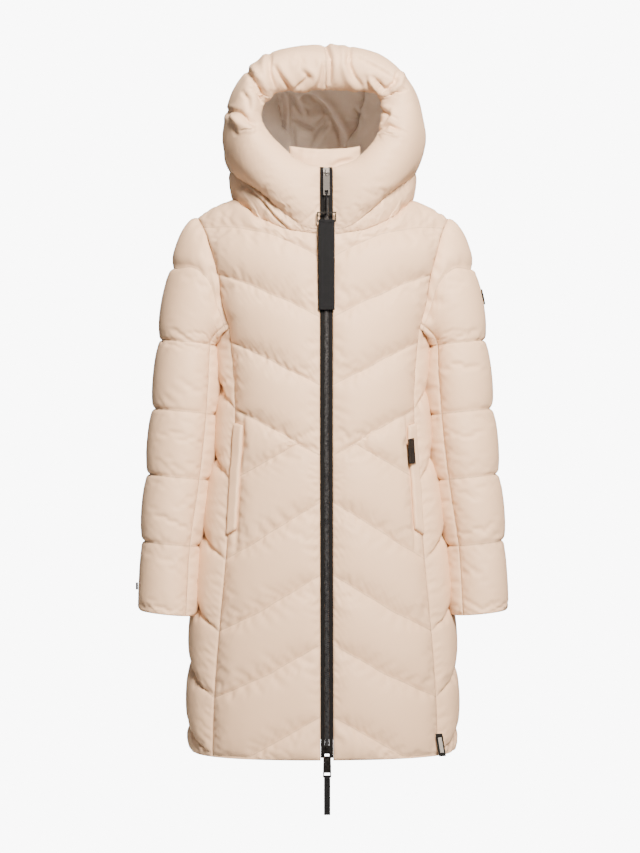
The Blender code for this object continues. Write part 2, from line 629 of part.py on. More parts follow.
def hood_pieces(band, top, material):
    edge = gusset_edge(band, top)
    # the border walks round the side panel: down the band's seam, then back along the collar
    border = [band.grid[i, -1] for i in range(GUSSET_RING - 1, SIDE_SEAM_RING - 1, -1)] + list(top[-6:-2])
    border = [band.grid[GUSSET_RING, -1]] + border + [top[-2]]
    shares = np.linspace(0, 1, 5)
    steps = [CORNER_STEP] + list(range(1, len(edge) - 1)) + [len(edge) - 1 - CORNER_STEP]
    side = np.array([[over_hood(mixed(edge, at), mixed(border, at), share) for share in shares]
                     for at in steps])
    loft = np.full(side.shape[:2], LOFT_HOOD)
    loft[:, 0] = loft[:, -1] = loft[0] = loft[-1] = 0
    side_panel = Piece("hood_side_left", side, loft, HOOD_MIDDLE, material)
    rows = []
    for i, point in enumerate(edge):
        share = i / (len(edge) - 1)
        middle = over_hood(band.grid[-1, -1], top[-1], share)
        rows.append([point * (-1, 1, 1), middle, point])
    centre = np.array(rows)
    loft = np.zeros(centre.shape[:2])
    loft[1:-1, 1] = LOFT_HOOD
    centre_panel = Piece("hood_centre", centre, loft, HOOD_MIDDLE, material)
    side_panel.gap = LINING_GAP
    return side_panel, centre_panel


def over_back(start, end, direction):
    """A line over the inside of the hood from its lip, past a point at the back, down to the neck."""
    turn = np.array(direction) / np.linalg.norm(direction)
    back = HOOD_MIDDLE + turn * hood_radius(turn, LINING_INSET)
    upper = [over_hood(start, back, i / LINING_UPPER_STEPS, LINING_INSET) for i in range(LINING_UPPER_STEPS)]
    lower = [back + (end - back) * i / LINING_LOWER_STEPS for i in range(LINING_LOWER_STEPS + 1)]
    return upper + lower


def lining_pieces(band, lower, material):
    """The hood's inner shell: a side from the lip to the neck and the gusset, and the middle panel."""
    neck = []
    for point in lower:
        inward = np.array((point[0], point[1], 0.0))
        neck.append(point - inward / np.linalg.norm(inward) * NECK_INSET)
    lip = band.grid[:, 0]
    seam = over_back(lip[GUSSET_RING], neck[-2], LINING_BACK_SEAM)
    spine = over_back(lip[-1], neck[-1], LINING_BACK_MIDDLE)
    side = []
    rings = list(range(GUSSET_RING)) + [GUSSET_RING - CORNER_STEP]
    for ring in rings:
        if ring <= LINING_CORNER_RING:
            end = mixed(neck, ring / LINING_CORNER_RING * (len(neck) - 2))
        else:
            share = (GUSSET_RING - ring) / (GUSSET_RING - LINING_CORNER_RING)
            end = mixed(seam, (len(seam) - 1) * share)
        start = mixed(lip, ring)
        row = []
        for share in np.linspace(0, 1, LINING_STEPS + 1):
            flat = LINING_FLAT * share
            straight = start + (end - start) * share
            row.append((1 - flat) * over_hood(start, end, share, LINING_INSET) + flat * straight)
        side.append(row)
    side_panel = Piece("hood_lining_left", side, np.zeros((len(side), LINING_STEPS + 1)), HOOD_MIDDLE,
                       material, LINING_WALL, faces_in=True)
    centre = [[point * (-1, 1, 1), middle, point] for point, middle in zip(seam, spine)]
    centre_panel = Piece("hood_lining_centre", centre, np.zeros((len(seam), 3)), HOOD_MIDDLE,
                         material, LINING_WALL, faces_in=True)
    side_panel.gap = centre_panel.gap = LINING_GAP
    return side_panel, centre_panel


def inner_collar_piece(material):
    """The low padded guard that stands inside the collar, behind the top of the zip."""
    columns, rows = 7, 4
    grid = []
    for i in range(rows):
        level = GUARD_TOP - GUARD_TALL * i / (rows - 1)
        xs = np.linspace(-GUARD_HALF, GUARD_HALF, columns)
        grid.append([(x, GUARD_FRONT + GUARD_CURVE * x * x, level) for x in xs])
    return Piece("inner_collar", grid, np.zeros((rows, columns)), (0, 0.2, 0), material, GUARD_THICK)


# What lies on the panels

def patch(piece, row_span, column_span, lift, thick, name, material):
    """A flat piece on a panel: points read off the panel's faces and moved out."""
    outer = piece.outer()

    def at(row, column):
        i, j = min(int(row), outer.shape[0] - 2), min(int(column), outer.shape[1] - 2)
        u, v = row - i, column - j
        weights = ((1 - u) * (1 - v), u * (1 - v), (1 - u) * v, u * v)
        corners = ((i, j), (i + 1, j), (i, j + 1), (i + 1, j + 1))
        point = sum(weight * outer[corner] for weight, corner in zip(weights, corners))
        normal = sum(weight * piece.normals[corner] for weight, corner in zip(weights, corners))
        return point, normal / np.linalg.norm(normal)

    rows, columns = np.linspace(*row_span, PATCH_POINTS), np.linspace(*column_span, PATCH_POINTS)
    places = [[at(r, c) for c in columns] for r in rows]
    under = np.array([[point + normal * lift for point, normal in row] for row in places])
    over = np.array([[point + normal * (lift + thick) for point, normal in row] for row in places])
    return wall_mesh(name, over, under, piece.flipped, material)


def welt(front, rows, name, material):
    """The pocket's welt: the last column of the front's own points between two rows, moved out."""
    first, last = rows
    outer = front.outer()[first:last + 1, -2:]
    normals = front.normals[first:last + 1, -2:]
    base = outer.copy()
    base[:, 1] += (outer[:, 0] - outer[:, 1]) * WELT_DRAW
    over = base + normals * (LIFT + WELT_THICK)
    return wall_mesh(name, over, base + normals * LIFT, front.flipped, material)


def pocket_flag(front, rows, material):
    """A small cloth label sewn on the welt, reaching over its inner edge."""
    outer, normals = front.outer(), front.normals
    top, bottom = outer[rows[0], -2:], outer[rows[1], -2:]
    way = normals[rows[0] + 1, -1] * 0.5 + normals[rows[0] + 1, -2] * 0.5
    way /= np.linalg.norm(way)

    def place(across, down):
        start = (1 - across) * top[0] + across * top[1]
        end = (1 - across) * bottom[0] + across * bottom[1]
        return start + (end - start) * down

    rows_at = [[place(a, d) for a in FLAG_ACROSS] for d in FLAG_DOWN]
    under = np.array([[p + way * FLAG_LIFT for p in row] for row in rows_at])
    return wall_mesh("pocket_label", under + way * FLAG_THICK, under, front.flipped, material)


def hem_loop(material):
    """A folded label round the hem at the front's outer seam: a leg outside, the fold below, a leg inside."""
    x = smooth(PRINCESS, HEM_LEVEL)
    seat = seam_point(HEM_LEVEL, PRINCESS, False)
    angle = ring_angle(x, HEM_LEVEL, False)
    ahead = on_ring(angle + ANGLE_STEP, HEM_LEVEL) - on_ring(angle - ANGLE_STEP, HEM_LEVEL)
    ahead /= np.linalg.norm(ahead)
    out = np.cross(ahead, (0.0, 0.0, 1.0))
    out = out if out[1] < 0 else -out
    outer, inner, thick = HEM_LOOP_OUT, WALL + HEM_LOOP_IN, HEM_LOOP_THICK
    profile = [(outer + thick, HEM_LOOP_UP), (outer + thick, -HEM_LOOP_DOWN),
               (-inner - thick, -HEM_LOOP_DOWN), (-inner - thick, HEM_LOOP_BACK), (-inner, HEM_LOOP_BACK), (-inner, -HEM_LOOP_DOWN + thick),
               (outer, -HEM_LOOP_DOWN + thick), (outer, HEM_LOOP_UP)]
    count = len(profile)
    points = [seat + ahead * side * HEM_LOOP_WIDTH / 2 + out * o + np.array((0, 0, 1)) * u
              for side in (-1, 1) for o, u in profile]
    faces = [(0, 1, 6, 7), (1, 2, 5, 6), (2, 3, 4, 5)]
    faces += [tuple(v + count for v in reversed(face)) for face in faces]
    for i in range(count):
        k = (i + 1) % count
        faces.append((k, i, count + i, count + k))
    return mesh_object("hem_label", points, outward(points, faces), material)


def outward(points, faces):
    """The faces turned to point out, judged by the volume that they enclose."""
    points = np.array(points)
    volume = sum(points[face[0]] @ np.cross(points[face[i]], points[face[i + 1]])
                 for face in faces for i in range(1, len(face) - 1))
    return faces if volume > 0 else [tuple(reversed(face)) for face in faces]


def cuff_flag(material):
    """A small cloth tab that stands out from the right sleeve, by the cuff."""
    _, x, y, half, _ = through(SLEEVE, CUFF_FLAG_RING)
    low, high = CUFF_FLAG_LEVELS
    edge = -(x + half + CUFF_FLAG_LIFT)
    return box("cuff_tab", (edge - CUFF_FLAG_OUT, y - CUFF_FLAG_HALF, low),
               (edge, y + CUFF_FLAG_HALF, high), material)


# Zip and pulls

def zip_depth(z):
    """y of the zip's middle line: down the collar, then down the fronts."""
    collar = [(row[2], row[1]) for row in HOOD_BAND[0]]
    if z >= collar[-1][0]:
        return smooth(collar, z)
    return -torso_depth(0.0, z, False)


def zip_levels(low, high):
    """Rows of the zip's pieces: far apart down the fronts, close together up the curved collar."""
    straight = np.linspace(low, COLLAR_FOOT, ZIP_ROWS)[:-1]
    return np.concatenate([straight, np.linspace(COLLAR_FOOT, high, ZIP_TOP_ROWS)])


def strip(name, x_from, x_to, levels, front, back, material):
    over = np.array([[(x, zip_depth(z) - front, z) for x in (x_from, x_to)] for z in levels])
    under = np.array([[(x, zip_depth(z) + back, z) for x in (x_from, x_to)] for z in levels])
    return wall_mesh(name, over, under, x_to > x_from, material)


def box(name, low, high, material, parent=None):
    (x0, y0, z0), (x1, y1, z1) = low, high
    points = [(x, y, z) for x in (x0, x1) for y in (y0, y1) for z in (z0, z1)]
    faces = ((0, 1, 3, 2), (4, 6, 7, 5), (0, 4, 5, 1), (2, 3, 7, 6), (0, 2, 6, 4), (1, 5, 7, 3))
    return mesh_object(name, points, faces, material, parent)


def joined(first, others, operation="UNION"):
    """Adds or cuts shapes with Boolean modifiers, and hides the shapes that were used."""
    for other in others:
        modifier = first.modifiers.new(other.name, "BOOLEAN")
        modifier.operation = operation
        modifier.object = other
        other.hide_render = True
        other.display_type = "WIRE"
    return first


def pull_hinge(name, place):
    """An empty on a pull's hinge line."""
    hinge = bpy.data.objects.new(name, None)
    hinge.location = place
    bpy.context.scene.collection.objects.link(hinge)
    return hinge


def slider(name, low, post_at_top, material):
    """A zip slider: two plates round the chain, the post that parts it, and the bridge for the pull."""
    y = zip_depth(low + SLIDER_LENGTH / 2)
    half = SLIDER_WIDTH / 2
    front, back = y - CHAIN_FRONT - SLIDER_CLEAR, y + CHAIN_BACK + SLIDER_CLEAR
    high = low + SLIDER_LENGTH
    body = box(name, (-half, front - SLIDER_PLATE, low), (half, front, high), material)
    post_low = high - POST_SIZE if post_at_top else low + JOIN_SLIM
    post_high = high - JOIN_SLIM if post_at_top else low + POST_SIZE
    bar = front - SLIDER_PLATE - BRIDGE_RISE
    bridge = BRIDGE_WIDTH / 2
    parts = [
        box(name + "_back_plate", (-half, back, low), (half, back + SLIDER_PLATE, high), material),
        box(name + "_post", (-POST_HALF, front - JOIN_IN, post_low),
            (POST_HALF, back + JOIN_IN, post_high), material),
        box(name + "_bar", (-bridge, bar - BRIDGE_BAR, low + BRIDGE_LOW),
            (bridge, bar, low + BRIDGE_HIGH), material),
    ]
    for k, leg in enumerate((low + BRIDGE_LOW, low + BRIDGE_HIGH - BRIDGE_BAR)):
        parts.append(box(f"{name}_leg_{k}", (-bridge + JOIN_SLIM, bar - JOIN_IN, leg + JOIN_SLIM),
                         (bridge - JOIN_SLIM, front - JOIN_IN, leg + BRIDGE_BAR - JOIN_SLIM), material))
    joined(body, parts)
    lean = math.atan2(zip_depth(high) - zip_depth(low), SLIDER_LENGTH)
    pivot = (0.0, y, low + SLIDER_LENGTH / 2)
    for obj in [body] + parts:
        tilt_object(obj, pivot, lean)
    pin = (0.0, (bar + front - SLIDER_PLATE) / 2, low + PIN_UP)
    return body, np.array(tilted([pin], pivot, lean)[0])


def tilted(points, pivot, lean):
    """Points turned about the hinge line so that a hanging piece leans out by an angle."""
    turned = []
    for x, y, z in points:
        dy, dz = y - pivot[1], z - pivot[2]
        turned.append((x, pivot[1] + dy * math.cos(lean) + dz * math.sin(lean),
                       pivot[2] - dy * math.sin(lean) + dz * math.cos(lean)))
    return turned


def tilt_object(obj, pivot, lean):
    """Leans an object's mesh out about a hinge line through the pivot."""
    origin = np.array(obj.parent.location) if obj.parent else np.zeros(3)
    points = [np.array(v.co) + origin for v in obj.data.vertices]
    for vertex, point in zip(obj.data.vertices, tilted(points, pivot, lean)):
        vertex.co = np.array(point) - origin
    return obj


def pull_tab(name, pin, length, width, lean, material, hinge):
    """A flat metal pull with a window at each end. The upper window's bar is the hinge pin."""
    half, thick = width / 2, TAB_THICK / 2
    x, y, z = pin
    top = z + PIN_SIZE / 2
    bottom = top - length
    body = box(name, (-half, y - thick, bottom), (half, y + thick, top), material, hinge)
    window = half - TAB_FRAME
    cuts = [
        box(name + "_upper_window", (-window, y - 2 * thick, top - PIN_SIZE - UPPER_WINDOW),
            (window, y + 2 * thick, top - PIN_SIZE), material, hinge),
        box(name + "_lower_window", (-window, y - 2 * thick, bottom + LOWER_BAR),
            (window, y + 2 * thick, bottom + LOWER_BAR + LOWER_WINDOW), material, hinge),
        box(name + "_pin_front", (-window, y - 2 * thick, top - PIN_SIZE * 1.5),
            (window, y - PIN_SIZE / 2, top + CUT_PAST), material, hinge),
        box(name + "_pin_back", (-window, y + PIN_SIZE / 2, top - PIN_SIZE * 1.5),
            (window, y + 2 * thick, top + CUT_PAST), material, hinge),
    ]
    joined(body, cuts, "DIFFERENCE")
    for obj in [body] + cuts:
        tilt_object(obj, pin, lean)
    bar = tilted([(0.0, y, bottom + LOWER_BAR / 2)], pin, lean)[0]
    return body, np.array(bar)


def looped_strap(name, bar, bar_half, width, length, thick, lean, material, hinge):
    """Folded webbing hanging from a bar, with a tunnel round the bar at its top."""
    loop = bar_half + BAR_CLEAR + thick / 2
    half = width / 2
    outline = []
    for i in range(LOOP_SIDES + 1):
        angle = math.pi * i / LOOP_SIDES
        outline.append((loop * math.cos(angle), loop * math.sin(angle)))
    pinch = -loop * LOOP_PINCH
    outline += [(-thick / 2, pinch), (-thick / 2, -length), (thick / 2, -length), (thick / 2, pinch)]
    bore = bar_half + BAR_CLEAR
    turns = [2 * math.pi * i / TUNNEL_SIDES for i in range(TUNNEL_SIDES)]
    hole = [(bore * math.cos(angle), bore * math.sin(angle)) for angle in turns]
    body = prism(name, outline, -half, half, bar, material, hinge)
    cut = prism(name + "_tunnel", hole, -half - CUT_PAST, half + CUT_PAST, bar, material, hinge)
    joined(body, [cut], "DIFFERENCE")
    for obj in (body, cut):
        tilt_object(obj, bar, lean)
    return body


def prism(name, outline, x_from, x_to, middle, material, parent=None):
    """A solid with one outline in y, z, from one x to another, anticlockwise seen from +X."""
    count = len(outline)
    points = [np.array(middle) + (x, y, z) for x in (x_from, x_to) for y, z in outline]
    faces = [tuple(range(count - 1, -1, -1)), tuple(range(count, 2 * count))]
    for i in range(count):
        k = (i + 1) % count
        faces.append((i, k, count + k, count + i))
    return mesh_object(name, points, faces, material, parent)


def cord_loop(name, upper, lower, radius, material, hinge):
    """A closed loop of cord from the tab's lower bar down round the ring's upper bar."""
    data = bpy.data.curves.new(name, "CURVE")
    data.dimensions = "3D"
    data.bevel_depth = radius
    data.bevel_resolution = 2
    turn = CORD_TURN
    points = []
    for middle, start in ((upper, 0.0), (lower, math.pi)):
        for i in range(7):
            angle = start + math.pi * i / 6
            points.append(np.array(middle) + (0.0, turn * math.cos(angle), turn * math.sin(angle)))
    spline = data.splines.new("POLY")
    spline.points.add(len(points) - 1)
    for point, place in zip(spline.points, points):
        point.co = (*(place - np.array(hinge.location)), 1.0)
    spline.use_cyclic_u = True
    data.materials.append(material)
    obj = bpy.data.objects.new(name, data)
    bpy.context.scene.collection.objects.link(obj)
    obj.parent = hinge
    return obj


def wire_ring(name, top_bar, width, height, wire, material, hinge):
    """A rectangular ring of square wire, hanging from the cord by its upper bar."""
    x, y, z = top_bar
    half, thick = width / 2, wire / 2
    top, bottom = z + thick, z + thick - height
    body = box(name, (-half, y - thick, bottom), (half, y + thick, top), material, hinge)
    cut = box(name + "_hole", (-half + wire, y - wire, bottom + wire),
              (half - wire, y + wire, top - wire), material, hinge)
    joined(body, [cut], "DIFFERENCE")
    return body, np.array((0.0, y, bottom + thick))


def zip_pieces(materials):
    cloth, chain, metal, pull, web = (
        materials[k] for k in ("zip_tape", "zip_chain", "zip_metal", "pull_metal", "webbing"))
    levels = zip_levels(ZIP_BOTTOM, ZIP_TOP)
    strip("zip_tape_left", CHAIN_HALF + LIFT, TAPE_EDGE, levels, TAPE_HALF, TAPE_HALF, cloth)
    strip("zip_tape_right", -CHAIN_HALF - LIFT, -TAPE_EDGE, levels, TAPE_HALF, TAPE_HALF, cloth)
    _, top_pin = slider("zip_slider_top", TOP_SLIDER_LOW, True, metal)
    _, low_pin = slider("zip_slider_bottom", BOTTOM_SLIDER_LOW, False, metal)
    chain_top = TOP_SLIDER_LOW + SLIDER_LENGTH - POST_SIZE - LIFT
    chain_bottom = BOTTOM_SLIDER_LOW + POST_SIZE + LIFT
    strip("zip_chain", -CHAIN_HALF, CHAIN_HALF, zip_levels(chain_bottom, chain_top), CHAIN_FRONT,
          CHAIN_BACK, chain)

    hinge = pull_hinge("top_pull_hinge", top_pin)
    _, bar = pull_tab("pull_tab_top", top_pin, TOP_TAB_LENGTH, TOP_TAB_WIDTH, TOP_TAB_LEAN, pull, hinge)
    ring_bar = bar + (0.0, -CORD_STEP_OUT, -CORD_DROP)
    cord_loop("pull_cord", bar, ring_bar, CORD_RADIUS, web, hinge)
    strap_hinge = pull_hinge("pull_strap_hinge", ring_bar)
    _, lower_bar = wire_ring("pull_ring", ring_bar, RING_WIDTH, RING_HEIGHT, RING_WIRE, pull, strap_hinge)
    looped_strap("pull_strap", lower_bar, RING_WIRE * ROUND_BAR, STRAP_WIDTH, STRAP_LENGTH, STRAP_THICK,
                 STRAP_LEAN, web, strap_hinge)

    low_hinge = pull_hinge("bottom_pull_hinge", low_pin)
    _, low_bar = pull_tab("pull_tab_bottom", low_pin, BOTTOM_TAB_LENGTH, BOTTOM_TAB_WIDTH, 0.0, metal,
                          low_hinge)
    web_loop = looped_strap("pull_strap_bottom", low_bar, TAB_THICK * ROUND_BAR, SMALL_LOOP_WIDTH,
                            SMALL_LOOP_LENGTH, SMALL_STRAP_THICK, 0.0, web, low_hinge)
    half, thick = SMALL_STRAP_WIDTH / 2, SMALL_STRAP_THICK / 2
    x, y, z = low_bar
    wide = box("pull_strap_bottom_end", (-half, y - thick - JOIN_IN, z - SMALL_STRAP_LENGTH),
               (half, y + thick + JOIN_IN, z - SMALL_LOOP_LENGTH / 2), web, low_hinge)
    joined(web_loop, [wide])


MATERIALS = {
    # colour, roughness, metallic
    "shell_cloth": ((0.66, 0.56, 0.47), 0.72, 0.0),
    "lining_cloth": ((0.60, 0.50, 0.41), 0.75, 0.0),
    "zip_tape": ((0.012, 0.012, 0.013), 0.85, 0.0),
    "zip_chain": ((0.015, 0.015, 0.016), 0.40, 0.0),
    "zip_metal": ((0.03, 0.03, 0.032), 0.35, 0.8),
    "pull_metal": ((0.16, 0.16, 0.17), 0.32, 1.0),
    "webbing": ((0.018, 0.018, 0.022), 0.80, 0.0),
    "label_cloth": ((0.015, 0.015, 0.016), 0.65, 0.0),
}


def make_material(name):
    colour, roughness, metallic = MATERIALS[name]
    material = bpy.data.materials.new(name)
    material.use_nodes = True
    shader = material.node_tree.nodes["Principled BSDF"]
    shader.inputs["Base Color"].default_value = (*colour, 1.0)
    shader.inputs["Roughness"].default_value = roughness
    shader.inputs["Metallic"].default_value = metallic
    return material


def main():
    for obj in list(bpy.data.objects):
        bpy.data.objects.remove(obj)
    materials = {name: make_material(name) for name in MATERIALS}
    shell = materials["shell_cloth"]
    front, pocket_rows = front_piece(shell)
    side = side_piece(shell)
    back = back_piece(shell)
    sleeves = sleeve_pieces(armhole_loop(front, side, back), shell)
    band = band_piece(shell)
    top = collar_top(band)
    collar = collar_piece(neckline(front, back), top, shell)
    hood_side, hood_centre = hood_pieces(band, top, shell)
    lining_left, lining_centre = lining_pieces(band, neckline(front, back), materials["lining_cloth"])
    halves = [front, side, *sleeves, band, collar, hood_side, lining_left]
    pieces = halves + [piece.mirrored(piece.name.replace("left", "right")) for piece in halves]
    pieces += [back, hood_centre, lining_centre, inner_collar_piece(materials["lining_cloth"])]
    share_seam_normals(pieces)
    for piece in pieces:
        piece.build()
    named = {piece.name: piece for piece in pieces}
    welt(named["front_left"], pocket_rows, "pocket_welt_left", shell)
    welt(named["front_right"], pocket_rows, "pocket_welt_right", shell)
    label = materials["label_cloth"]
    patch(named["sleeve_left_upper"], BADGE_ROWS, BADGE_COLUMNS, BADGE_LIFT, BADGE_THICK, "sleeve_badge",
          label)
    hem_loop(label)
    cuff_flag(label)
    pocket_flag(named["front_left"], pocket_rows, label)
    zip_pieces(materials)


main()
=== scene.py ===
import math

import bpy
import numpy as np
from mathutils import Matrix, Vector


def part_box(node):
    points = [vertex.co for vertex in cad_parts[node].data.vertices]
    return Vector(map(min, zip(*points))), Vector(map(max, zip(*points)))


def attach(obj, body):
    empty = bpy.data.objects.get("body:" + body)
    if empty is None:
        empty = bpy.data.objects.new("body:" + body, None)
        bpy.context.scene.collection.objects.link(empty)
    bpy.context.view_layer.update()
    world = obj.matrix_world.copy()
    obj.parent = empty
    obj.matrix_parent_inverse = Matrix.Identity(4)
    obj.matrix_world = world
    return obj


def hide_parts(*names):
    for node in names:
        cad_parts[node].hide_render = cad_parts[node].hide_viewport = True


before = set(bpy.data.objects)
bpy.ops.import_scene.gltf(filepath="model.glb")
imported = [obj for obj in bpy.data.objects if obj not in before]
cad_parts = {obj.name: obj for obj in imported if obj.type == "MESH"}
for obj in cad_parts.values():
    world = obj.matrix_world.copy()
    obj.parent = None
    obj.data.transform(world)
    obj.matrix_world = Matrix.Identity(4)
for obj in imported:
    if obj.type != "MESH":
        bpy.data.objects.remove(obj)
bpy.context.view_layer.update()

# Long hooded puffer coat, worn shape. The base surfaces repeat the CAD's tables, in metres, in the same frame.
# Each quilted panel is a fine sheet pinned along its seams and quilt lines, blown up by a cloth simulation.

SIM_STEP = 0.0060               # spacing of a sheet's points in the simulation
SIM_FRAMES = 22
WALL = 0.003
# How the sewn lines differ from the CAD's straight ones
LINE_BOWS = {"yoke": 0.015, "chest": 0.004, "thigh": -0.003, "knee": -0.003}
LINE_WOBBLE = 0.0013
LOW_LINE_FALL = 0.55            # how steeply the lowest quilt line runs out at the hem
HEM_FOLD = 0.004
SIDE_LOW_FRONT = -0.8735        # level where the side panel's lowest line meets the front
TOP_ROWS_POWER = 1.8            # rows crowd towards the shoulder, where the surface turns over
START_LOFT = 0.55               # share of the full loft at the simulation's start
SIM_QUALITY, SIM_MASS, SIM_STIFF, SIM_BEND, SIM_DAMP = 6, 0.02, 12.0, 0.02, 4.0
SIM_PRESSURE, SIM_AIR, SIM_BEND_DAMP = 90.0, 2.0, 0.1
SIM_ROUGH = 0.0002              # random heights at the simulation's start
SINK_MOST, SLIDE_MOST = 0.002, 0.006    # how far the cloth may end inwards and sideways of its base
PILLOW_POWER = 0.6
PILLOW_BAND, PILLOW_EDGE = 0.05, 0.03   # a shorter band or a nearer edge fills out less
CUFF_FLAT = 0.55                # share of the loft that the band at the cuff takes
PUCKER = 0.0014                 # height of the gathers beside the seams
GATHER_PITCH, GATHER_LONG, GATHER_REACH, GATHER_DRIFT = 0.0075, 0.03, 0.0070, 0.012

SHELL, SHELL_SHADE = (0.725, 0.525, 0.37), (0.70, 0.502, 0.348)
LINING, LINING_SHADE = (0.70, 0.645, 0.605), (0.64, 0.585, 0.545)
TAPE, TAPE_LIGHT = (0.0032, 0.0036, 0.0044), (0.0095, 0.0105, 0.0125)
WEBBING, WEBBING_LIGHT = (0.0045, 0.0053, 0.0070), (0.0135, 0.0158, 0.0205)
LABEL, LABEL_LIGHT = (0.006, 0.006, 0.0065), (0.018, 0.018, 0.019)
FIELD, FIELD_LIGHT = (0.30, 0.30, 0.30), (0.45, 0.45, 0.45)
BLACK_METAL, BLACK_WORN = (0.006, 0.006, 0.0065), (0.024, 0.024, 0.025)
GUN_METAL, GUN_WORN = (0.026, 0.026, 0.028), (0.055, 0.055, 0.058)
TEETH, TEETH_WORN = (0.011, 0.0125, 0.016), (0.045, 0.050, 0.060)
FLOOR_GREY = (0.58, 0.58, 0.58)

FLOOR, FLOOR_HALF = -1.30, 1.2
WORLD_LIGHT = 0.26
WORLD_TINT = (1.0, 0.90, 0.80)
BACKDROP_MIDDLE = 0.045         # slope to +X of the way to the middle of the bright patch behind the coat
BACKDROP_HALF = (0.162, 0.214)  # the patch's half width and half height, as slopes
BACKDROP_EDGE = 0.012
BACKDROP_AHEAD = 0.1            # least +Y share of a direction that can meet the patch
BACKDROP_LIGHT = 9.0
LAMP_TINT = (1.0, 0.845, 0.69)
# name, place, target, diameter, watts, spread in degrees
LIGHTS = (
    ("key", (0.6, -3.0, 1.6), (0.03, -0.13, 0.07), 0.9, 83, 74),
    ("fill", (1.5, -3.2, 0.7), (0, 0, 0.1), 0.8, 52, 180),
    ("top", (0.3, 0.1, 2.6), (0, 0, -0.2), 1.2, 50, 180),
)
CAMERA_PLACE, CAMERA_AIM_X, CAMERA_LENS = (-0.203, -4.496, -0.360), -0.0042, 118.7

# The CAD's tables
HEM_LEVEL = -0.877
ZIP_HALF_WIDTH = 0.010          # from the zip's middle to a front's edge
TORSO_POWER = 2.4               # superellipse power of the coat's rings
SHOULDER_ROUND = 0.10           # how far below the shoulder ridge the chest reaches its full depth
CORNER_LEVEL = -0.205           # where armhole, front and side panel meet
FRONT_COLUMNS = 8
NECK_COLUMNS = 5                # of those, the ones that end at the neckline

# level, half width, front depth, back depth of the rings at seam height
TORSO = (
    (-0.90, 0.2070, 0.149, 0.150),
    (-0.80, 0.2060, 0.147, 0.148),
    (-0.715, 0.2030, 0.144, 0.145),
    (-0.617, 0.1965, 0.140, 0.140),
    (-0.50, 0.1820, 0.134, 0.132),
    (-0.39, 0.1640, 0.129, 0.116),
    (-0.30, 0.1580, 0.129, 0.110),
    (-0.22, 0.1610, 0.130, 0.114),
    (-0.16, 0.1760, 0.128, 0.116),
    (-0.10, 0.1950, 0.124, 0.114),
    (-0.03, 0.2110, 0.118, 0.108),
    (0.06, 0.2200, 0.112, 0.104),
)
# x, z of the shoulder ridge, from the neck out to the sleeve
RIDGE = ((0.0, 0.045), (0.10, 0.013), (0.14, -0.003), (0.1995, -0.027))
# z, x of the armhole on the front and on the back
ARMHOLE_FRONT = ((-0.205, 0.1500), (-0.160, 0.1620), (-0.127, 0.1665), (-0.097, 0.1740), (-0.057, 0.1860),
                 (-0.027, 0.1995))
ARMHOLE_BACK = ((-0.205, 0.1500), (-0.160, 0.1640), (-0.110, 0.1720), (-0.057, 0.1860), (-0.027, 0.1995))
# z, x of the seam between front and side panel, and between back and side panel
PRINCESS = ((-0.90, 0.1770), (-0.78, 0.1735), (-0.68, 0.1660), (-0.57, 0.1560), (-0.45, 0.1475),
            (-0.35, 0.1410), (-0.28, 0.1425), (-0.205, 0.1500))
BACK_SEAM = ((-0.90, 0.1600), (-0.68, 0.1560), (-0.45, 0.1400), (-0.35, 0.1340), (-0.28, 0.1360),
             (-0.205, 0.1500))
# x, z of the neckline on the front, and x, z on the back
NECK_FRONT = ((0.010, -0.061), (0.036, -0.057), (0.061, -0.0525), (0.086, -0.042), (0.110, -0.028),
              (0.140, -0.003))
NECK_BACK = ((0.140, -0.003), (0.112, 0.000), (0.084, 0.003), (0.056, 0.006), (0.028, 0.008), (0.0, 0.008))
# quilt lines of a front: name, level at the zip, level at the outer edge
FRONT_LINES = (
    ("yoke", -0.096, -0.045),
    ("chest", -0.190, -0.120),
    ("bust", -0.295, -0.226),
    ("waist", -0.404, -0.3315),
    ("pocket", -0.412, -0.445),
    ("hip", -0.477, -0.568),
    ("thigh", -0.590, -0.680),
    ("knee", -0.698, -0.784),
    ("low", -0.809, -0.864),
)
POCKET_LINE_START = 0.25        # share of the front's width where the pocket line leaves the waist line
POCKET_LINE_DROP = 0.0015
# quilt lines of the side panel: name of the front line that it meets, level at the back seam
BACK_LINES = (("waist", -0.229), ("pocket", -0.340), ("hip", -0.463), ("thigh", -0.575), ("knee", -0.679),
              ("low", -0.790))
# quilt lines of the back: level in the middle, level at the outer edge
BACK_MIDDLE = ((-0.105, -0.050), (-0.205, -0.120), (-0.300, -0.229), (-0.412, -0.340), (-0.535, -0.463),
               (-0.647, -0.575), (-0.751, -0.679), (-0.845, -0.790))
UNDERARM_DIP = 0.009

# sleeve rings at the quilt lines: level and x, y of the centre, half width, half depth
SLEEVE = (
    (-0.2270, 0.2120, 0.000, 0.0445, 0.068),
    (-0.3360, 0.2200, -0.004, 0.0475, 0.067),
    (-0.4400, 0.2300, -0.014, 0.0460, 0.063),
    (-0.5450, 0.2420, -0.026, 0.0420, 0.058),
    (-0.6550, 0.2480, -0.038, 0.0420, 0.055),
)
SLEEVE_TILT = 0.10              # drop of a sleeve ring towards the body, per metre across
HEAD_LEAN, HEAD_DEPTH, HEAD_FALL, HEAD_OUT = 0.3, 0.09, 0.6, 0.45   # slope of the sleeve's head at the armhole
HEAD_DOWN = (0.05, 0.0, -1.0)   # and its direction at the first ring
HEAD_DOWN_REACH = 0.9
CAP_LINE_LEVEL = -0.112         # the quilt line that crosses the sleeve's head

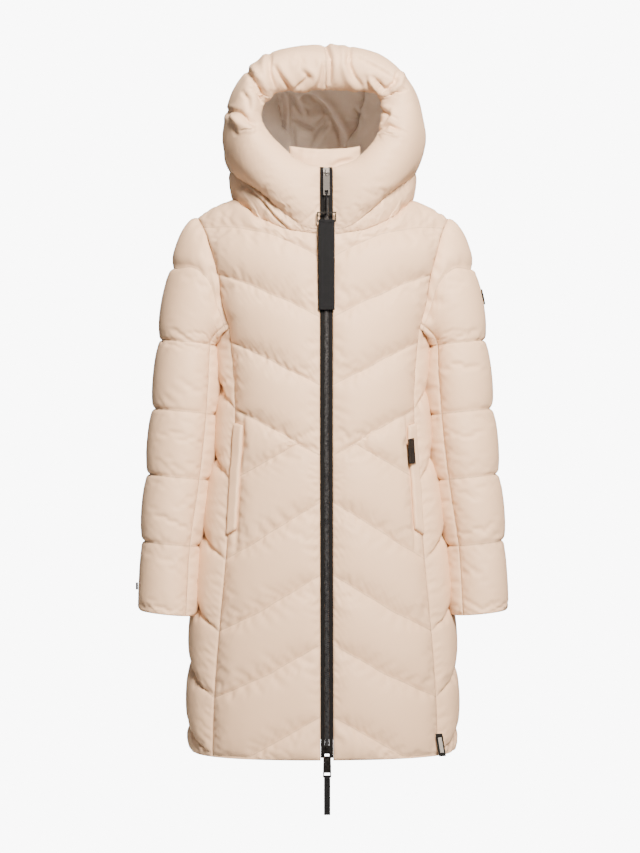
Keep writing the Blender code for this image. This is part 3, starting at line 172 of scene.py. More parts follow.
# hood: the rings of the padded band, from the zip round to the middle of the top. Columns are x, y, z of the
# opening's edge, of the crest, of the widest point and of the band's outer seam.
HOOD_BAND = (
    ((0.010, -0.121, 0.043), (0.010, -0.126, 0.010), (0.010, -0.126, -0.025), (0.010, -0.1225, -0.053)),
    ((0.040, -0.118, 0.053), (0.052, -0.136, 0.018), (0.048, -0.134, -0.018), (0.037, -0.124, -0.0475)),
    ((0.062, -0.116, 0.070), (0.084, -0.137, 0.044), (0.088, -0.129, 0.008), (0.069, -0.116, -0.024)),
    ((0.080, -0.112, 0.092), (0.110, -0.131, 0.076), (0.126, -0.106, 0.045), (0.103, -0.095, 0.008)),
    ((0.087, -0.108, 0.116), (0.121, -0.126, 0.107), (0.151, -0.075, 0.088), (0.143, -0.040, 0.042)),
    ((0.090, -0.103, 0.146), (0.122, -0.120, 0.146), (0.150, -0.062, 0.122), (0.148, -0.012, 0.100)),
    ((0.078, -0.100, 0.163), (0.103, -0.118, 0.188), (0.133, -0.060, 0.176), (0.136, -0.004, 0.168)),
    ((0.045, -0.098, 0.168), (0.057, -0.118, 0.211), (0.084, -0.060, 0.224), (0.086, 0.002, 0.222)),
    ((0.000, -0.097, 0.169), (0.000, -0.117, 0.213), (0.000, -0.055, 0.241), (0.000, 0.004, 0.243)),
)
OPEN_PLACE, OPEN_REACH, OPEN_SHIFT = (-0.090, 0.120), 0.030, 0.014   # where the opening's edge is drawn outwards
OPEN_FRONT, OPEN_FADE = 0.05, 0.04
OPENING_MIDDLE = (0.0, 0.108)   # x, z
LIP_DEPTH, LIP_SPREAD = 0.024, 0.007
SIDE_SEAM_RING = 8              # band ring at the notch over the shoulder
GUSSET_RING = 15                # band ring at the edge of the hood's middle panel
HOOD_MIDDLE = np.array((0.0, 0.0, 0.095))
HOOD_HALF = (0.149, 0.150, 0.148, 0.140)   # half width, depth to the back, height, depth below the middle
HOOD_POWER = 2.3
# x, y, z of the collar's upper edge behind the notch, to the middle of the back
COLLAR_TOP_BACK = ((0.148, 0.002, 0.047), (0.139, 0.056, 0.054), (0.116, 0.098, 0.061), (0.082, 0.126, 0.066),
                   (0.042, 0.139, 0.070), (0.0, 0.143, 0.071))
CORNER_STEP = 0.2               # how near its pointed corners the hood's side panel starts, in edge steps
LINING_INSET = 0.020
NECK_INSET = 0.013
LINING_FLAT = 0.6               # how far the lining's lower end leaves the round shell for a line
LINING_BACK_SEAM, LINING_BACK_MIDDLE = (0.28, 0.95, -0.10), (0.0, 1.0, -0.10)
LINING_CORNER_RING = 9.5        # band ring whose line across the lining ends at the back corner of the neck

# Folds: points in the picture plane through the origin (x, z), depth, width, side of the ridge
HOOD_FOLDS = (
    (((0.0008, 0.2566), (0.0056, 0.2454),
      (0.0112, 0.2326), (0.0123, 0.2123), (0.0112, 0.1878)), 0.0055, 0.0045, 1),
    (((0.0032, 0.2262), (-0.0013, 0.1989), (-0.0080, 0.1766)), 0.0040, 0.0045, -1),
    (((0.0426, 0.2502), (0.0414, 0.2213), (0.0493, 0.2011), (0.0640, 0.1814)), 0.0070, 0.0050, -1),
    (((-0.0344, 0.2102), (-0.0216, 0.1989), (-0.0315, 0.1877), (-0.0488, 0.1782)), 0.0060, 0.0045, 1),
    (((-0.0792, 0.2198), (-0.0674, 0.1989), (-0.0539, 0.1810), (-0.0504, 0.1702)), 0.0060, 0.0045, 1),
    (((-0.0843, 0.2390), (-0.0854, 0.2168), (-0.0832, 0.1989), (-0.0760, 0.1814)), 0.0055, 0.0045, -1),
    (((-0.1240, 0.2134), (-0.1101, 0.1922), (-0.1011, 0.1765), (-0.0952, 0.1558)), 0.0080, 0.0055, 1),
    (((-0.1544, 0.1462), (-0.1325, 0.1405), (-0.1190, 0.1293), (-0.1032, 0.1206)), 0.0080, 0.0055, -1),
    (((-0.1560, 0.1494), (-0.1427, 0.1226), (-0.1384, 0.1046)), 0.0040, 0.0045, 1),
    (((0.0456, 0.2358), (0.0694, 0.2235), (0.0942, 0.2101), (0.1192, 0.1950)), 0.0030, 0.0028, 1),
    (((0.0760, 0.2022), (0.0875, 0.1922), (0.0987, 0.1798), (0.1080, 0.1814)), 0.0070, 0.0040, -1),
    (((0.1208, 0.2102), (0.1166, 0.1922), (0.1032, 0.1806)), 0.0070, 0.0040, 1),
    (((0.0872, 0.1110), (0.1054, 0.1226), (0.1256, 0.1142)), 0.0055, 0.0045, -1),
    (((0.0888, 0.1478), (0.1048, 0.1405), (0.0936, 0.1254)), 0.0050, 0.0045, 1),
    (((-0.1304, 0.1782), (-0.1192, 0.1622), (-0.1160, 0.1430)), 0.0035, 0.0045, 1),
    (((-0.0392, 0.2390), (-0.0344, 0.2262), (-0.0376, 0.2102)), 0.0025, 0.0050, -1),
    (((0.0664, 0.2038), (0.0744, 0.1846), (0.0888, 0.1686)), 0.0035, 0.0045, 1),
)
LINING_FOLDS = (
    (((-0.0568, 0.1782), (-0.0472, 0.1675), (-0.0405, 0.1539), (-0.0296, 0.1382)), 0.0080, 0.0045, 1),
    (((-0.0408, 0.1654), (-0.0181, 0.1686), (-0.0002, 0.1539),
      (0.0157, 0.1315), (0.0269, 0.1091), (0.0312, 0.0854)), 0.0100, 0.0060, 1),
    (((-0.0488, 0.1318), (-0.0293, 0.1226), (-0.0120, 0.1158)), 0.0070, 0.0045, -1),
    (((-0.0147, 0.1158), (0.0045, 0.1334),
      (0.0072, 0.1238), (-0.0046, 0.1126), (-0.0200, 0.0822)), 0.0060, 0.0045, 1),
    (((-0.0696, 0.1782), (-0.0629, 0.1539), (-0.0606, 0.1206)), 0.0060, 0.0045, 1),
    (((-0.0517, 0.1670), (-0.0494, 0.1315), (-0.0450, 0.0854)), 0.0060, 0.0050, -1),
    (((-0.0344, 0.1574), (-0.0216, 0.1446), (-0.0056, 0.1526)), 0.0050, 0.0045, -1),
    (((0.0504, 0.1494), (0.0584, 0.1414), (0.0632, 0.1302)), 0.0035, 0.0045, 1),
)
COLLAR_FOLDS = (
    (((-0.1240, 0.0246), (-0.1146, 0.0171),
      (-0.0966, -0.0010), (-0.0787, -0.0234), (-0.0488, -0.0506)), 0.0035, 0.0028, 1),
    (((0.1304, 0.0566), (0.1054, 0.0238), (0.0717, -0.0099), (0.0440, -0.0442)), 0.0012, 0.0032, 1),
)
GUARD_FOLDS = (
    (((0.0136, 0.0534), (0.0269, 0.0630), (0.0488, 0.0662)), 0.0045, 0.0040, 1),
    (((-0.0296, 0.0758), (-0.0104, 0.0774), (0.0056, 0.0822)), 0.0025, 0.0040, 1),
)

# zip and pulls
TOOTH_PITCH = 0.0030
TOOTH_OUTLINE = ((-0.0011, -0.25), (0.0004, -0.33), (0.0031, -0.42), (0.0031, 0.42), (0.0004, 0.33),
                 (-0.0011, 0.25))                       # across, and up in pitches
TOOTH_LAYERS = ((0.0006, 1.0), (-0.0013, 1.0), (-0.0018, 0.7))   # depth, share of the outline's height
CORE_HALF, CORE_FRONT, CORE_BACK = 0.0034, 0.0003, 0.0009        # the flat core that the teeth stand on
STRAP_WIDTH, STRAP_BOW, STRAP_HALF_THICK = 0.0255, 0.0009, 0.0013
BOTTOM_TAB = (0.0058, 0.0066, 0.0021, 0.0009)   # half width above and below, rail, half thickness
BOTTOM_STRAP_RIBS, BOTTOM_STRAP_HALF_THICK = 15, 0.0011

# welt, guard and labels
WELT_COLUMNS, WELT_TOP, WELT_BOTTOM = 3, -0.352, -0.534
NARROW_BAND, NARROW_HEM = 0.006, 0.012   # bands under these heights stay flat, or pinned at the hem
WELT_HALF_THICK, WELT_LIFT, WELT_WAVE = 0.0042, 0.0032, 0.0004
BADGE_LEVEL, BADGE_TURNS = -0.1525, 32
BADGE_HALF_TALL, BADGE_HALF_COLUMNS, BADGE_ASIDE = 0.0125, 1.7, 0.8
BADGE_LIFT, BADGE_THICK = 0.0004, 0.0018
BADGE_RINGS = ((0.0, 1.0), (0.62, 1.0), (0.9, 1.0), (1.0, 0.7), (1.0, 0.0), (0.0, 0.0))   # reach, height
HEM_LABEL_LEVEL, HEM_LABEL_HALF_THICK, HEM_LABEL_COLUMNS = -0.8590, 0.0008, 12
HEM_FIELD_ROWS, HEM_FIELD_COLUMNS = range(4, 20), (*range(3, 9), *range(15, 21))   # faces of the light field
HEM_LABEL, HEM_LABEL_TURN = (0.036, 0.0065, 0.0105, -0.006), 0.45     # height, half width, stand-off, lean
GUARD_TOP, GUARD_TALL, GUARD_HALF = 0.0755, 0.085, 0.056
GUARD_FRONT, GUARD_CURVE, GUARD_RISE = -0.087, 4.0, 0.006


# Curves and surfaces, on arrays

def hermite(start, end, start_slope, end_slope, t):
    return ((1 + 2 * t) * (1 - t) ** 2 * start + t * (1 - t) ** 2 * start_slope
            + t * t * (3 - 2 * t) * end - t * t * (1 - t) * end_slope)


def smooth(table, at, column=1):
    """Reads a column of a table at values of its first column, on a smooth curve through the rows."""
    keys = np.array([row[0] for row in table], float)
    values = np.array([row[column] for row in table], float)
    if keys[0] > keys[-1]:
        keys, values = keys[::-1], values[::-1]
    slopes = np.gradient(values, keys)
    i = np.clip(np.searchsorted(keys, at) - 1, 0, len(keys) - 2)
    step = keys[i + 1] - keys[i]
    t = np.clip((at - keys[i]) / step, 0.0, 1.0)
    return hermite(values[i], values[i + 1], slopes[i] * step, slopes[i + 1] * step, t)


def through(points, at):
    """Points on the smooth curve through a list of points, at fractional indexes."""
    points = np.asarray(points, float)
    at = np.asarray(at, float)
    i = np.clip(np.floor(at).astype(int), 0, len(points) - 2)
    before, after = points[np.maximum(i - 1, 0)], points[np.minimum(i + 2, len(points) - 1)]
    t = (at - i).reshape(at.shape + (1,) * (points.ndim - 1))
    return hermite(points[i], points[i + 1], (points[i + 1] - before) / 2, (after - points[i]) / 2, t)


def torso_depth(x, z, back):
    half, depth = smooth(TORSO, z, 1), smooth(TORSO, z, 3 if back else 2)
    across = np.maximum(1 - (np.abs(x) / half) ** TORSO_POWER, 0.0) ** (1 / TORSO_POWER)
    xs, zs = zip(*RIDGE)
    below = np.clip(np.interp(np.abs(x), xs, zs) - z, 0.0, SHOULDER_ROUND)
    return depth * across * np.sqrt(np.maximum(1 - (1 - below / SHOULDER_ROUND) ** 2, 0.0))


def on_front(flat):
    x, z = flat[..., 0], flat[..., 1]
    return np.stack([x, -torso_depth(x, z, False), z], -1)


def on_back(flat):
    x, z = flat[..., 0], flat[..., 1]
    return np.stack([x, torso_depth(x, z, True), z], -1)


def ring_angle(x, z, back):
    share = np.minimum(np.abs(x) / smooth(TORSO, z, 1), 1.0)
    return np.arccos(share ** (TORSO_POWER / 2)) * (1 if back else -1)


def on_ring(angle, z):
    depth = np.where(angle > 0, smooth(TORSO, z, 3), smooth(TORSO, z, 2))
    x = smooth(TORSO, z, 1) * np.cos(angle) ** (2 / TORSO_POWER)
    y = np.copysign(depth * np.abs(np.sin(angle)) ** (2 / TORSO_POWER), angle)
    return np.stack([x, y, z], -1)


def outer_edge(z, armhole, seam):
    return np.where(z > CORNER_LEVEL, smooth(armhole, z), smooth(seam, z))


def hood_radius(direction, inset=0.0):
    x, y, z = np.moveaxis(direction, -1, 0)
    half, back, up, down = (size - inset for size in HOOD_HALF)
    total = ((np.abs(x) / half) ** HOOD_POWER + (np.abs(y) / back) ** HOOD_POWER
             + (np.abs(z) / np.where(z > 0, up, down)) ** HOOD_POWER)
    return total ** (-1 / HOOD_POWER)


def over_hood(start, end, share, inset=0.0):
    """Points between two others, carried over the hood's round shell."""
    share = np.asarray(share, float)[..., None]
    a, b = start - HOOD_MIDDLE, end - HOOD_MIDDLE
    length_a = np.linalg.norm(a, axis=-1, keepdims=True)
    length_b = np.linalg.norm(b, axis=-1, keepdims=True)
    angle = np.arccos(np.clip((a * b).sum(-1, keepdims=True) / (length_a * length_b), -1, 1))
    turn = (np.sin((1 - share) * angle) * a / length_a + np.sin(share * angle) * b / length_b) / np.sin(angle)
    fit_a = length_a / hood_radius(a / length_a, inset)[..., None]
    fit_b = length_b / hood_radius(b / length_b, inset)[..., None]
    return HOOD_MIDDLE + turn * hood_radius(turn, inset)[..., None] * ((1 - share) * fit_a + share * fit_b)


def mixed(lines, at):
    """Rows of points at fractional line numbers, between two lines of points."""
    lines, at = np.asarray(lines, float), np.asarray(at, float)
    i = np.minimum(at.astype(int), len(lines) - 2)
    t = (at - i).reshape(at.shape + (1,) * (lines.ndim - 1))
    return (1 - t) * lines[i] + t * lines[i + 1]


def waves(*terms):
    """A smooth fixed wobble from -1 to 1: a sum of sines of each (value, cycles, phase)."""
    total = sum(np.sin(2 * np.pi * (value * cycles) + phase) for value, cycles, phase in terms)
    return total / len(terms)


# Panels: each is a surface that takes fractional line numbers and gives rows of points

def shoulder_line(neck):
    end, tip = np.array(neck[-1]), np.array(RIDGE[-1])
    shares = np.linspace(0, 1, FRONT_COLUMNS - NECK_COLUMNS + 1)[1:]
    return np.array(list(neck) + [end + (tip - end) * share for share in shares])


def fitted(lines, armhole, seam, inner, place):
    """The surface through a panel's flat lines, stretched from its inner edge out to its seam."""

    def surface(at):
        line = mixed(lines, at)
        edge = outer_edge(line[:, -1, 1], armhole, seam)
        scale = np.where(at >= 1, (edge - inner) / (line[:, -1, 0] - inner), 1.0)
        line[..., 0] = inner + (line[..., 0] - inner) * scale[:, None]
        return place(line)

    return surface, len(lines)


def front_surface(columns):
    across = np.linspace(0, FRONT_COLUMNS, columns + 1)
    shares = across / FRONT_COLUMNS
    lines = [through(shoulder_line(NECK_FRONT), across)]
    waist = dict((name, (a, b)) for name, a, b in FRONT_LINES)["waist"]
    for k, (name, middle, outer) in enumerate(FRONT_LINES):
        edge = float(outer_edge(np.array(outer), ARMHOLE_FRONT, PRINCESS))
        levels = middle + (outer - middle) * shares + LINE_BOWS.get(name, 0.0) * np.sin(np.pi * shares)
        levels += LINE_WOBBLE * np.sin(np.pi * shares) * waves((shares, 1.3, k), (shares, 2.9, 2.1 * k))
        if name == "pocket":
            start = waist[0] + (waist[1] - waist[0]) * POCKET_LINE_START
            levels = start + (outer - start) * (shares - POCKET_LINE_START) / (1 - POCKET_LINE_START)
            levels = np.minimum(levels, lines[-1][:, 1] - POCKET_LINE_DROP)
        if name == "low":
            levels = np.maximum(middle - LOW_LINE_FALL * shares * edge, HEM_LEVEL + HEM_FOLD)
        lines.append(np.stack([ZIP_HALF_WIDTH + (edge - ZIP_HALF_WIDTH) * shares, levels], -1))
    edge = float(smooth(PRINCESS, HEM_LEVEL))
    lines.append(np.stack([ZIP_HALF_WIDTH + (edge - ZIP_HALF_WIDTH) * shares, np.full(len(shares), HEM_LEVEL)], -1))
    return fitted(lines, ARMHOLE_FRONT, PRINCESS, ZIP_HALF_WIDTH, on_front)


def side_surface(columns):
    front = dict((name, outer) for name, _, outer in FRONT_LINES)
    ends = [(CORNER_LEVEL, CORNER_LEVEL)] + [(front[name], level) for name, level in BACK_LINES]
    ends[-1] = (SIDE_LOW_FRONT, ends[-1][1])
    ends.append((HEM_LEVEL, HEM_LEVEL))
    shares = np.linspace(0, 1, columns + 1)

    def surface(at):
        start, end = mixed(ends, at).T[:, :, None]
        dip = UNDERARM_DIP * np.maximum(1 - at, 0.0)[:, None]
        z = start + (end - start) * shares - dip * np.sin(np.pi * shares)
        first = ring_angle(smooth(PRINCESS, z), z, False)
        last = ring_angle(smooth(BACK_SEAM, z), z, True)
        points = on_ring(first + (last - first) * shares, z)
        for column, level, seam, place in ((0, start, PRINCESS, on_front), (-1, end, BACK_SEAM, on_back)):
            points[:, column] = place(np.stack([smooth(seam, level[:, 0]), level[:, 0]], -1))
        return points

    return surface, len(ends)


def back_surface(columns):
    across = np.linspace(-FRONT_COLUMNS, FRONT_COLUMNS, columns + 1)
    shares = np.abs(across) / FRONT_COLUMNS
    top = through(shoulder_line(NECK_BACK[::-1]), np.abs(across))
    lines = [np.stack([np.sign(across) * top[:, 0], top[:, 1]], -1)]
    for k, (middle, outer) in enumerate(BACK_MIDDLE + ((HEM_LEVEL, HEM_LEVEL),)):
        edge = float(outer_edge(np.array(outer), ARMHOLE_BACK, BACK_SEAM))
        levels = middle + (outer - middle) * shares
        if middle != outer:
            levels = levels + LINE_WOBBLE * np.sin(np.pi * shares) * waves((across, 0.23, k), (across, 0.11, 2 * k))
        lines.append(np.stack([np.sign(across) * edge * shares, levels], -1))
    return fitted(lines, ARMHOLE_BACK, BACK_SEAM, 0.0, on_back)


def armhole_loop():
    """Round the armhole: shoulder, front, under the arm, back, shoulder."""
    down = front_surface(FRONT_COLUMNS)[0](np.linspace(0, 1, 61) ** 2 * 3.0)[:, -1]
    down = down[down[:, 2] > CORNER_LEVEL - 0.0005]
    under = side_surface(12)[0](np.array([0.0]))[0, 1:]
    back = back_surface(2 * FRONT_COLUMNS)[0](np.linspace(0, 1, 61) ** 2 * 3.0)[:, -1]
    back = back[back[:, 2] > CORNER_LEVEL + 0.001]
    return np.concatenate([down, under, back[::-1]])


def sleeve_ring(at, columns):
    level, x, y, half, depth = (v[:, None] for v in through(SLEEVE, at).T)
    angle = 2 * np.pi * np.arange(columns + 1) / columns
    side = half * np.cos(angle)
    return np.stack([x + side, y - depth * np.sin(angle), level + SLEEVE_TILT * side], -1)


def sleeve_surface(columns):
    loop = armhole_loop()
    lengths = np.concatenate([[0], np.cumsum(np.linalg.norm(np.diff(loop, axis=0), axis=1))])
    at = np.linspace(0, lengths[-1], columns + 1)
    start = np.stack([np.interp(at, lengths, loop[:, axis]) for axis in range(3)], -1)
    end = sleeve_ring(np.array([0.0]), columns)[0]
    reach = np.linalg.norm(end - start, axis=1)[:, None]
    lean = HEAD_LEAN * start[:, 1] / HEAD_DEPTH
    out = np.stack([np.ones(columns + 1), lean, np.full(columns + 1, -HEAD_FALL)], -1) * reach * HEAD_OUT
    down = np.array(HEAD_DOWN) * reach * HEAD_DOWN_REACH
    tries = np.linspace(0.2, 0.6, 41)[:, None, None]
    levels = hermite(start, end, out, down, tries)[..., 2]
    shares = tries[np.argmin(np.abs(levels - CAP_LINE_LEVEL), axis=0), 0, 0]
    shares = np.convolve(np.pad(shares, 4, mode="wrap"), np.ones(9) / 9, "valid")

    def surface(at):
        rows = []
        for value in at:
            if value <= 2:
                t = (shares * value if value <= 1 else shares + (1 - shares) * (value - 1))[:, None]
                rows.append(hermite(start, end, out, down, t))
            else:
                rows.append(sleeve_ring(np.array([value - 2]), columns)[0])
        return np.array(rows)

    return surface, len(SLEEVE) + 2


def band_points(at):
    """Lip, edge, crest, widest point and seam of the hood's band at fractional rings."""
    loops = [through([row[k] for row in HOOD_BAND], at) for k in range(4)]
    edge = loops[0]
    away = np.stack([edge[:, 0] - OPENING_MIDDLE[0], np.zeros(len(at)), edge[:, 2] - OPENING_MIDDLE[1]], -1)
    away /= np.linalg.norm(away, axis=1, keepdims=True)
    lip = edge + away * LIP_SPREAD + np.array((0.0, LIP_DEPTH, 0.0))
    return np.array([lip] + loops)


def band_surface(columns):
    steps = np.linspace(0, 4, columns + 1)

    def surface(at):
        points = through(band_points(at), steps).transpose(1, 0, 2)
        points[at <= 0, :, 0] = ZIP_HALF_WIDTH
        points[at >= len(HOOD_BAND) - 1, :, 0] = 0.0
        return points

    return surface, len(HOOD_BAND)


def band_seam(ring):
    return band_points(np.atleast_1d(np.asarray(ring, float)) / 2)[4]


def collar_top():
    return np.concatenate([band_seam(np.arange(SIDE_SEAM_RING + 1)), np.array(COLLAR_TOP_BACK)])


def neckline():
    front = on_front(np.array(NECK_FRONT))
    back = on_back(np.array(NECK_BACK))
    points = [front[0]]
    for a, b in zip(front[:4], front[1:5]):
        points += [(a + b) / 2, b]
    return np.array(points + [front[5]] + list(back[1:]))


def collar_surface(columns):
    at = np.linspace(0, len(COLLAR_TOP_BACK) + SIDE_SEAM_RING, columns + 1)
    return lambda rows: mixed([through(neckline(), at), through(collar_top(), at)], rows), 2


def gusset_edge():
    count = GUSSET_RING - SIDE_SEAM_RING + 5
    return over_hood(band_seam(GUSSET_RING)[0], collar_top()[-2], np.arange(count + 1) / count)


def hood_side_surface(columns):
    edge, top = gusset_edge(), collar_top()
    border = np.concatenate([band_seam(np.arange(GUSSET_RING, SIDE_SEAM_RING - 1, -1)), top[-6:-2], top[-2:-1]])
    last = len(edge) - 1

    def surface(at):
        at = CORNER_STEP + at * (last - 2 * CORNER_STEP)
        shares = np.linspace(0, 1, columns + 1)[None]
        return over_hood(through(edge, at)[:, None], through(border, at)[:, None], shares)

    return surface, 2


def arched(edge, middle, columns):
    """The surface of a middle panel, from its mirrored edge over its middle line to its edge."""

    def surface(at):
        at = at * (len(edge) - 1)
        left, centre = through(edge, at), through(middle, at)
        return through([left * (-1, 1, 1), centre, left], np.linspace(0, 2, columns + 1)).transpose(1, 0, 2)

    return surface, 2


def hood_centre_surface(columns):
    edge, top = gusset_edge(), collar_top()
    shares = np.arange(len(edge)) / (len(edge) - 1)
    middle = over_hood(band_seam(2 * (len(HOOD_BAND) - 1))[0] * (0, 1, 1), top[-1], shares)
    return arched(edge, middle, columns)


def over_back(start, end, direction):
    turn = np.array(direction) / np.linalg.norm(direction)
    back = HOOD_MIDDLE + turn * hood_radius(turn, LINING_INSET)
    upper = over_hood(start, back, np.arange(12) / 12, LINING_INSET)
    return np.concatenate([upper, back + (end - back) * np.linspace(0, 1, 7)[:, None]])


def lining_surfaces():
    """The hood's inner shell: the side panel's and the middle panel's surfaces."""
    lower = neckline()
    inward = lower * (1, 1, 0)
    neck = lower - inward / np.linalg.norm(inward, axis=1, keepdims=True) * NECK_INSET
    seam = over_back(band_points(np.array([GUSSET_RING / 2]))[0, 0], neck[-2], LINING_BACK_SEAM)
    spine = over_back(band_points(np.array([8.0]))[0, 0] * (0, 1, 1), neck[-1], LINING_BACK_MIDDLE)

    def side(columns):
        shares = np.linspace(0, 1, columns + 1)

        def surface(at):
            rows = []
            for ring in at * (GUSSET_RING - CORNER_STEP):
                if ring <= LINING_CORNER_RING:
                    end = through(neck, ring / LINING_CORNER_RING * (len(neck) - 2))
                else:
                    back = (GUSSET_RING - ring) / (GUSSET_RING - LINING_CORNER_RING)
                    end = through(seam, (len(seam) - 1) * back)
                start = band_points(np.array([ring / 2]))[0, 0]
                flat = (LINING_FLAT * shares)[:, None]
                straight = start + (end - start) * shares[:, None]
                arc = over_hood(start[None], end[None], shares, LINING_INSET)
                rows.append((1 - flat) * arc + flat * straight)
            return np.array(rows)

        return surface, 2

    return side, lambda columns: arched(seam, spine, columns)


# Fine sheets

def crossing(grid):
    normals = np.cross(np.gradient(grid, axis=0), np.gradient(grid, axis=1))
    return normals / np.maximum(np.linalg.norm(normals, axis=2, keepdims=True), 1e-12)


class Sheet:
    """A quilted panel: rows of points, pinned on its lines and edges, and how it is blown up."""

    def __init__(self, name, make_surface, columns_wide, outside, grow=0.035, cap=0.016, loft=0.008, puff=0.0,
                 top=False, step=SIM_STEP, column_span=None, wall=WALL, slot="shell_cloth", faces_in=False):
        self.name, self.grow, self.cap, self.loft, self.puff = name, grow, cap, loft, puff
        self.phase, self.wall, self.slot = 0.0, wall, slot
        surface, count = make_surface(columns_wide)
        at, self.seams = [], [0]
        for k in range(count - 1):
            band = surface(k + np.linspace(0, 1, 17))
            length = np.linalg.norm(np.diff(band, axis=0), axis=2).sum(axis=0)
            rows = max(4, int(round(np.quantile(length, 0.7) / step)))
            shares = np.arange(rows) / rows
            at += list(k + (shares ** TOP_ROWS_POWER if top and k == 0 else shares))
            self.seams.append(len(at))
        at = np.array(at + [count - 1.0])
        grid = surface(at)
        if column_span:
            first, last = column_span
            if first < last:
                grid = grid[:, first:last + 1]
            else:
                grid = np.concatenate([grid[:, first:], grid[:, 1:last + 1]], 1)
        self.at, self.base = at, grid
        self.columns = [0, grid.shape[1] - 1]
        normals = crossing(grid)
        away = grid - np.asarray(outside, float)
        self.flipped = (float((normals * away).sum()) < 0) != faces_in
        self.normals = -normals if self.flipped else normals
        self.pins = np.zeros(grid.shape[:2], bool)
        self.pins[self.seams] = True
        self.pins[:, self.columns] = True
        self.flat = np.ones(grid.shape[:2])      # share of the loft that each point may take

    def mirrored(self, name, phase):
        other = Sheet.__new__(Sheet)
        other.__dict__.update(self.__dict__)
        mirror = np.array((-1.0, 1.0, 1.0))
        other.name, other.phase = name, phase
        other.base, other.normals, other.flipped = self.base * mirror, self.normals * mirror, not self.flipped
        return other

    def heights(self):
        """A smooth pillow between the pinned lines, for the start of the simulation."""
        rows, columns = self.base.shape[:2]
        down = np.linalg.norm(np.diff(self.base, axis=0), axis=2)
        height = np.zeros((rows, columns))
        for a, b in zip(self.seams, self.seams[1:]):
            run = np.concatenate([np.zeros((1, columns)), np.cumsum(down[a:b], axis=0)])
            total = np.maximum(run[-1], 1e-9)
            arch = np.maximum(np.sin(np.pi * run / total), 0.0) ** PILLOW_POWER
            height[a:b + 1] = arch * np.minimum(1.0, total / PILLOW_BAND)
        across = np.linalg.norm(np.diff(self.base, axis=1), axis=2)
        side = np.concatenate([np.zeros((rows, 1)), np.cumsum(across, axis=1)], axis=1)
        edge = np.minimum(side, side[:, -1:] - side)
        height *= np.clip(edge / PILLOW_EDGE, 0, 1) ** PILLOW_POWER
        return height * self.flat

    def faces(self, rows, columns, shift=0, back=False):
        i, j = np.meshgrid(np.arange(rows - 1), np.arange(columns - 1), indexing="ij")
        a = (i * columns + j).ravel() + shift
        quads = np.stack([a, a + columns, a + columns + 1, a + 1], -1)
        return quads[:, ::-1] if self.flipped != back else quads

    def start_simulation(self):
        rng = np.random.default_rng(abs(hash_of(self.name)))
        rough = rng.normal(0, SIM_ROUGH, self.base.shape[:2])
        height = self.heights() * START_LOFT * self.loft + rough
        height[self.pins] = 0
        start = self.base + self.normals * height[..., None]
        rows, columns = start.shape[:2]
        mesh = bpy.data.meshes.new("sim_" + self.name)
        mesh.from_pydata(start.reshape(-1, 3).tolist(), [], self.faces(rows, columns).tolist())
        obj = bpy.data.objects.new("sim_" + self.name, mesh)
        bpy.context.scene.collection.objects.link(obj)
        group = obj.vertex_groups.new(name="pin")
        group.add([int(i) for i in np.flatnonzero(self.pins.ravel())], 1.0, "REPLACE")
        cloth = obj.modifiers.new("cloth", "CLOTH")
        settings = cloth.settings
        settings.quality = SIM_QUALITY
        settings.mass = SIM_MASS
        settings.air_damping = SIM_AIR
        settings.tension_stiffness = settings.compression_stiffness = SIM_STIFF
        settings.shear_stiffness = SIM_STIFF / 3
        settings.bending_stiffness = SIM_BEND
        settings.tension_damping = settings.compression_damping = settings.shear_damping = SIM_DAMP
        settings.bending_damping = SIM_BEND_DAMP
        settings.vertex_group_mass = "pin"
        settings.shrink_min = settings.shrink_max = -self.grow
        settings.use_pressure = True
        settings.uniform_pressure_force = SIM_PRESSURE
        settings.effector_weights.gravity = 0.0
        cloth.collision_settings.use_collision = False
        cloth.point_cache.frame_end = SIM_FRAMES
        self.sim = obj

    def end_simulation(self):
        graph = bpy.context.evaluated_depsgraph_get()
        mesh = self.sim.evaluated_get(graph).to_mesh()
        points = np.empty(len(mesh.vertices) * 3)
        mesh.vertices.foreach_get("co", points)
        moved = points.reshape(self.base.shape) - self.base
        out = (moved * self.normals).sum(-1) + self.puff * self.heights()
        room = self.cap * self.flat
        capped = np.where(out > 0, room * np.tanh(out / np.maximum(room, 1e-6)), np.maximum(out, -SINK_MOST))
        slide = moved - self.normals * (moved * self.normals).sum(-1)[..., None]
        limit = np.linalg.norm(slide, axis=-1, keepdims=True)
        slide *= np.minimum(1.0, SLIDE_MOST / np.maximum(limit, 1e-9))
        self.shape = self.base + slide * self.flat[..., None] + self.normals * capped[..., None]
        mesh = self.sim.data
        bpy.data.objects.remove(self.sim)
        bpy.data.meshes.remove(mesh)


def hash_of(text):
    return sum((k + 1) * ord(letter) for k, letter in enumerate(text)) % 9973


def doubled(grid, breaks):
    """The grid with a point between each two rows, on a smooth curve that has corners at the breaks."""
    count = len(grid)
    out = np.empty((2 * count - 1,) + grid.shape[1:])
    out[::2] = grid
    for a, b in zip(breaks, breaks[1:]):
        for i in range(a, b):
            p, q = grid[i], grid[i + 1]
            if b - a < 2:
                middle = (p + q) / 2
            elif i == a:
                middle = (3 * p + 6 * q - grid[i + 2]) / 8
            elif i == b - 1:
                middle = (3 * q + 6 * p - grid[i - 1]) / 8
            else:
                middle = (9 * p + 9 * q - grid[i - 1] - grid[i + 2]) / 16
            out[2 * i + 1] = middle
    return out


